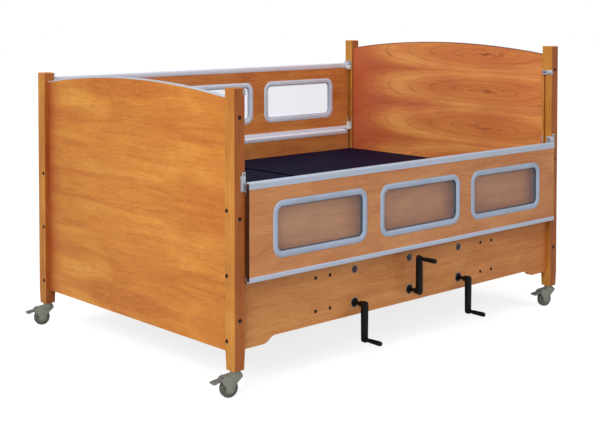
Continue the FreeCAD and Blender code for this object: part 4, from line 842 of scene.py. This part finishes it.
# ------------------------------------------------------------------ casters
def caster(tag, x, y):
    mat_ = Matrix.Translation((x, y, 0)) @ Matrix.Rotation(math.radians(168.0), 4, "Z")
    t_, r = 30.0, 37.5
    f = Mesh(mat_)
    f.lathe("Z", 0, 0, [(105.0, 0), (105.0, 20.0), (104.0, 21.0), (92.0, 21.0), (92.0, 25.0), (91.0, 26.0), (87.0, 26.4), (84.0, 25.0), (84.0, 0)], 36)
    for s in (-1, 1):
        cheek = [(-16.0, 87.5), (52.0, 87.5), (60.0, 85.0), (66.0, 80.0), (69.0, 74.0), (67.0, 67.0), (61.0, 60.0), (55.0, 50.0)]
        cheek += arc(t_, r, 18.5, 20, -200, 16)
        cheek += [(6.0, 52.0), (-4.0, 63.0), (-17.0, 74.0), (-20.0, 80.0)]
        ys = sorted((16.6 * s, 22.0 * s))
        f.prism(cheek[::-1] if s > 0 else cheek, "Y", ys[0], ys[1], 1.6, 2, 40.0)
        f.lathe("Y", t_, r, [(20.0 * s, 0), (20.0 * s, 8.0), (23.4 * s, 8.0), (24.6 * s, 6.6), (24.8 * s, 0)], 6)
        f.lathe("Y", 62.0, 74.0, [(20.0 * s, 0), (20.0 * s, 4.4), (23.2 * s, 4.0), (24.0 * s, 2.4), (24.0 * s, 0)], 20)
    f.prism([(-23.0, 79.5), (-20.5, 77.4), (52.0, 77.4), (53.0, 78.4), (53.0, 83.0), (30.0, 88.4), (8.0, 90.8), (-20.0, 90.8), (-23.0, 88.5)], "Y", -21.9, 21.9, 2.6, 3, 20.0)
    f.lathe("Y", t_, r, [(-21.0, 0), (-21.0, 5.0), (21.0, 5.0), (21.0, 0)], 20)
    f.lathe("Y", 62.0, 74.0, [(-21.0, 0), (-21.0, 3.0), (21.0, 3.0), (21.0, 0)], 16)
    f.piece("caster_%s_fork_hood" % tag, M_cfork, "fork_" + tag, ("caster_fork_" + tag,), "caster_metal")
    w_ = Mesh(mat_)
    tread = [(-11.0, 27.0), (-12.6, 28.0), (-13.0, 31.0), (-12.4, 34.6), (-10.4, 36.6), (-7.0, 37.4), (0.0, 37.5), (7.0, 37.4), (10.4, 36.6), (12.4, 34.6), (13.0, 31.0), (12.6, 28.0), (11.0, 27.0), (10.0, 26.2), (-10.0, 26.2)]
    w_.lathe("Y", t_, r, tread, 56, closed=True)
    w_.piece("caster_%s_tyre" % tag, M_tyre, "wheel_" + tag, ("caster_wheel_" + tag,), "caster_tyre")
    h_ = Mesh(mat_)
    hub = [(-11.6, 26.6), (-11.2, 24.0), (-8.6, 22.6), (-8.2, 15.0), (-9.4, 13.6), (-14.6, 12.4), (-15.4, 11.0), (-15.4, 5.1), (15.4, 5.1),
           (15.4, 11.0), (14.6, 12.4), (9.4, 13.6), (8.2, 15.0), (8.6, 22.6), (11.2, 24.0), (11.6, 26.6)]
    h_.lathe("Y", t_, r, hub, 56, closed=True)
    for i in range(6):
        k = math.radians(60 * i + 12)
        c_ = Vector((t_ + 18.6 * math.cos(k), 0, r + 18.6 * math.sin(k)))
        h_.rbox(c_.x - 5.4, c_.x + 5.4, -10.6, 10.6, c_.z - 1.5, c_.z + 1.5, 0.8, 2, Matrix.Rotation(-k, 3, "Y"), c_)
    h_.piece("caster_%s_hub" % tag, M_hub, "wheel_" + tag, (), "caster_tyre")
    p_ = Mesh(mat_)
    p_.lathe("Y", 62.0, 74.0, [(-16.4, 3.1), (-16.4, 6.0), (-15.8, 6.6), (15.8, 6.6), (16.4, 6.0), (16.4, 3.1)], 28, closed=True)
    lo_ = [(64.0, 69.0), (84.0, 67.2), (90.0, 63.4), (101.0, 62.4), (106.4, 64.0), (107.5, 67.6), (103.5, 70.4), (93.0, 72.6), (80.0, 75.2), (68.6, 76.4), (68.4, 72.0)]
    p_.prism(lo_, "Y", -17.4, 17.4, 1.5, 2, 40.0)
    for i in range(4):
        xx = 87.0 + 4.6 * i
        p_.rbox(xx - 1.0, xx + 1.0, -15.0, 15.0, 72.0 - 0.8 * i, 75.2 - 1.0 * i, 0.7, 2)
    p_.piece("caster_%s_brake_pedal" % tag, M_pedal, "pedal_" + tag, ("caster_pedal_" + tag,), "pedal_plastic")


c = S / 2
caster("foot_near", c, c)
caster("foot_far", c, W - c)
caster("head_near", L - c, c)
caster("head_far", L - c, W - c)


# ------------------------------------------------------------------ deck pads
def pad(name, x0, x1, g0, g1, bends, joint_x, z0=670.2, z1=694.0, y0=55.0, y1=W - 55.0):
    """A firm upholstered pad: crowned top, rolled edges, and relief where it meets its neighbour."""
    bm = bmesh.new()
    r = 7.0

    def spread(a, b, fine, step):
        pos, v = [a], a
        edge = [0.0, 0.6, 1.6, 3.2, 5.4, 8.5, 13.0, 20.0, 30.0, 44.0]
        left = [a + e for e in edge]
        right = [b - e for e in edge][::-1]
        n_ = max(1, int(round((right[0] - left[-1]) / step)))
        mid_ = [left[-1] + (right[0] - left[-1]) * i / n_ for i in range(1, n_)]
        out = left + mid_ + right
        for f in fine:
            out += [f + k for k in range(-48, 49, 6)]
        out = sorted(out)
        keep = [out[0]]
        for v in out[1:-1]:
            if v - keep[-1] > 0.4:
                keep.append(v)
        keep.append(out[-1])
        return keep

    xs = spread(x0, x1, [joint_x], 22.0)
    ys = spread(y0, y1, [], 24.0)

    def edge_in(d_):
        """Height lost to the rolled edge at distance d_ from it."""
        return 0.0 if d_ >= r else r - math.sqrt(max(0.0, r * r - (r - d_) ** 2))

    top, bot = {}, {}
    for i, x in enumerate(xs):
        for j, y in enumerate(ys):
            dx0, dx1, dy = x - x0, x1 - x, min(y - y0, y1 - y)
            lose = max(edge_in(dx0), edge_in(dx1), edge_in(dy))
            # relief towards the neighbouring pad
            rel = 0.0
            if g0:
                rel = max(rel, g0 * max(0.0, 1 - dx0 / 40.0) ** 2)
            if g1:
                rel = max(rel, g1 * max(0.0, 1 - dx1 / 40.0) ** 2)
            d_ = min(dx0, dx1, dy)
            crown = 1.5 * (1 - math.exp(-d_ / 70.0)) - 1.5
            wave = 0.55 * noise.noise(Vector((x / 210.0, y / 190.0, 0.3))) + 0.25 * noise.noise(Vector((x / 70.0, y / 64.0, 4.3)))
            wave *= min(1.0, d_ / 60.0)
            crease = -1.1 * math.exp(-((x - joint_x) / 9.0) ** 2)
            z = z1 + crown + wave + crease - lose - 0.2 * rel
            top[i, j] = bm.verts.new((x, y, max(z0 + 3.0, z)))
            if i in (0, len(xs) - 1) or j in (0, len(ys) - 1):
                bot[i, j] = bm.verts.new((x, y, z0 + 2.4))
    nx, ny = len(xs), len(ys)
    for i in range(nx - 1):
        for j in range(ny - 1):
            bm.faces.new((top[i, j], top[i + 1, j], top[i + 1, j + 1], top[i, j + 1]))
    edge = [(i, 0) for i in range(nx)] + [(nx - 1, j) for j in range(1, ny)] + [(i, ny - 1) for i in range(nx - 2, -1, -1)] + [(0, j) for j in range(ny - 2, 0, -1)]
    n_ = len(edge)
    # side wall, lower roll and flat underside, where the pad rests on its pan
    cx_, cy_ = (x0 + x1) / 2, (y0 + y1) / 2
    under = {}
    for e in edge:
        v = bot[e].co
        ix = 2.4 if e[0] == 0 else (-2.4 if e[0] == nx - 1 else 0)
        iy = 2.4 if e[1] == 0 else (-2.4 if e[1] == ny - 1 else 0)
        under[e] = bm.verts.new((v.x + ix, v.y + iy, z0))
    for k in range(n_):
        a_, b_ = edge[k], edge[(k + 1) % n_]
        bm.faces.new((top[a_], bot[a_], bot[b_], top[b_]))
        bm.faces.new((bot[a_], under[a_], under[b_], bot[b_]))
    low_grid = dict(under)
    for i in range(1, nx - 1):
        for j in range(1, ny - 1):
            low_grid[i, j] = bm.verts.new((xs[i], ys[j], z0))
    for i in range(nx - 1):
        for j in range(ny - 1):
            bm.faces.new((low_grid[i, j], low_grid[i, j + 1], low_grid[i + 1, j + 1], low_grid[i + 1, j]))
    def lean(x, z):
        """Ends at the hip slope away from each other, so the pads clear when the thigh section rises."""
        k = max(0.0, min(1.0, (z - z0) / (z1 - z0)))
        if g1 and x1 - x < 60.0:
            return x - (g1 + 1.5) * k * (1 - (x1 - x) / 60.0)
        if g0 and x - x0 < 60.0:
            return x + (g0 + 1.5) * k * (1 - (x - x0) / 60.0)
        return x

    bmesh.ops.recalc_face_normals(bm, faces=bm.faces)
    # sewn edge: a piped cord laid round the top edge
    path = []
    for e in edge:
        p = top[e].co
        dx0, dx1, dy0, dy1 = p.x - x0, x1 - p.x, p.y - y0, y1 - p.y
        path.append((max(x0 + 2.6, min(x1 - 2.6, p.x)), max(y0 + 2.6, min(y1 - 2.6, p.y)), 0))
    for v in bm.verts:
        v.co.x = lean(v.co.x, v.co.z)
    m_ = Mesh()
    m_.take(bm)
    cord = bmesh.new()
    rings = []
    zs = []
    for (px, py, _z) in path:
        dx0, dx1 = px - x0, x1 - px
        rel = max(g0 * max(0.0, 1 - dx0 / 40.0) ** 2 if g0 else 0.0, g1 * max(0.0, 1 - dx1 / 40.0) ** 2 if g1 else 0.0)
        crease = -1.1 * math.exp(-((px - joint_x) / 9.0) ** 2)
        zs.append(z1 - 4.2 - 0.2 * rel + crease)
    path = [(lean(px, pz), py, 0) for (px, py, _z), pz in zip(path, zs)]
    for k in range(len(path)):
        px, py, _z = path[k]
        qx, qy, _q = path[(k + 1) % len(path)]
        rx, ry, _r = path[k - 1]
        tx, ty = qx - rx, qy - ry
        ln = math.hypot(tx, ty) or 1.0
        nx_, ny_ = -ty / ln, tx / ln
        rings.append([cord.verts.new((px + 2.3 * math.cos(a_) * nx_, py + 2.3 * math.cos(a_) * ny_, zs[k] + 2.3 * math.sin(a_)))
                      for a_ in [2 * math.pi * q_ / 8 for q_ in range(8)]])
    for k in range(len(rings)):
        p, q_ = rings[k], rings[(k + 1) % len(rings)]
        for i in range(8):
            cord.faces.new((p[i], p[(i + 1) % 8], q_[(i + 1) % 8], q_[i]))
    bmesh.ops.recalc_face_normals(cord, faces=cord.faces)
    c_ = Mesh()
    c_.take(cord)
    a_, b_ = bends
    start, end = M(joint_x - 34.0, 745.0, 684.0), M(joint_x + 34.0, 745.0, 684.0)
    if name == "pad_leg_rest":
        start, end = end, start
    o = m_.piece(name, M_pad, None, (), "navy_vinyl", 60.0)
    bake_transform(o)
    q_ = c_.piece(name + "_piping", M_pipe, None, (), "navy_vinyl", 70.0)
    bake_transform(q_)
    return o


o = pad("pad_seat_back", 1053.0, 2090.0, 8.0, 0.0, ("deck", "back"), 1298.0)
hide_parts("seat_pad", "back_pad")
o = pad("pad_leg_rest", 60.0, 1043.0, 0.0, 8.0, ("thigh", "calf"), 718.0)
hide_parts("thigh_pad", "calf_pad")

# ------------------------------------------------------------------ stage, light, camera
me = bpy.data.meshes.new("floor")
me.from_pydata([(-30, -30, 0), (30, -30, 0), (30, 30, 0), (-30, 30, 0)], [], [(0, 1, 2, 3)])
floor = bpy.data.objects.new("floor", me)
scene.collection.objects.link(floor)
fm, fnt, fb = new_mat("studio_floor")
ft = T(fnt)
ft.put(fb.inputs["Base Color"], ft.ramp(ft.noise(ft.obj(), 0.8, 3.0, 0.5), [(0.3, (0.40, 0.40, 0.40)), (0.7, (0.43, 0.43, 0.43))]))
fb.inputs["Roughness"].default_value = 1.0
fb.inputs["Specular IOR Level"].default_value = 0.0
# the floor is lit like a studio sweep: mostly even to the eye, with a soft shadow
lp = fnt.nodes.new("ShaderNodeLightPath")
fb.inputs["Emission Color"].default_value = (1.0, 1.0, 1.0, 1.0)
ft.put(fb.inputs["Emission Strength"], ft.math("ADD", ft.math("MULTIPLY", lp.outputs["Is Camera Ray"], 0.62), 0.18))
me.materials.append(fm)

world = bpy.data.worlds.new("studio")
scene.world = world
world.use_nodes = True
wt = world.node_tree
W_ = T(wt)
bg = next(n for n in wt.nodes if n.type == "BACKGROUND")
wlp = wt.nodes.new("ShaderNodeLightPath")
wco = wt.nodes.new("ShaderNodeTexCoord")
dx, dy, dz = W_.xyz(wco.outputs["Generated"])
side_ = W_.math("ADD", W_.math("MULTIPLY", dx, -0.72), W_.math("ADD", W_.math("MULTIPLY", dy, -0.16), W_.math("MULTIPLY", dz, 0.55)))
level = W_.math("ADD", W_.math("MULTIPLY", W_.math("MAXIMUM", side_, 0.0), 0.62), 0.30)
level = W_.math("ADD", W_.math("MULTIPLY", level, W_.math("SUBTRACT", 1.0, wlp.outputs["Is Camera Ray"])), W_.math("MULTIPLY", wlp.outputs["Is Camera Ray"], 1.0))
bg.inputs["Color"].default_value = (1.0, 1.0, 1.0, 1.0)
W_.put(bg.inputs["Strength"], level)


def light(name, loc, aim, size, power, colour=(1, 1, 1)):
    d_ = bpy.data.lights.new(name, "AREA")
    d_.shape = "RECTANGLE"
    d_.size, d_.size_y = size
    d_.energy = power
    d_.color = colour
    o_ = bpy.data.objects.new(name, d_)
    scene.collection.objects.link(o_)
    o_.location = loc
    o_.rotation_euler = (Vector(aim) - Vector(loc)).to_track_quat("-Z", "Y").to_euler()
    return o_


light("key", (-4.6, -2.2, 3.4), (0, 0, 0.6), (3.0, 2.4), 150.0, (1.0, 0.98, 0.95))
light("fill", (3.2, -4.6, 2.6), (0.2, 0, 0.6), (3.0, 2.0), 40.0, (0.97, 0.98, 1.0))
light("top", (0.4, 0.6, 4.2), (0.2, 0, 0), (3.2, 3.2), 60.0)

cam_data = bpy.data.cameras.new("camera")
cam = bpy.data.objects.new("camera", cam_data)
scene.collection.objects.link(cam)
cam.location = M(-2864.7, -3491.9, 1536.2)
cam.rotation_euler = (math.radians(90 - 2.03), 0, math.radians(-42.46))
cam_data.sensor_width = 36.0
cam_data.sensor_fit = "HORIZONTAL"
cam_data.lens = 36.0 * 1163.0 / 593.0
cam_data.shift_y = -0.2729
# the lens shift belongs to the main view; turned round the object, the camera looks straight at it
drv = cam_data.driver_add("shift_y").driver
drv.type = "SCRIPTED"
var = drv.variables.new()
var.name = "w"
var.type = "SINGLE_PROP"
var.targets[0].id = cam
var.targets[0].data_path = "rotation_quaternion[0]"
drv.expression = "-0.2729 if w > 0.99999 else 0.0"
cam_data.clip_end = 200.0
scene.camera = cam
scene.view_settings.view_transform = "Standard"
scene.view_settings.look = "None"
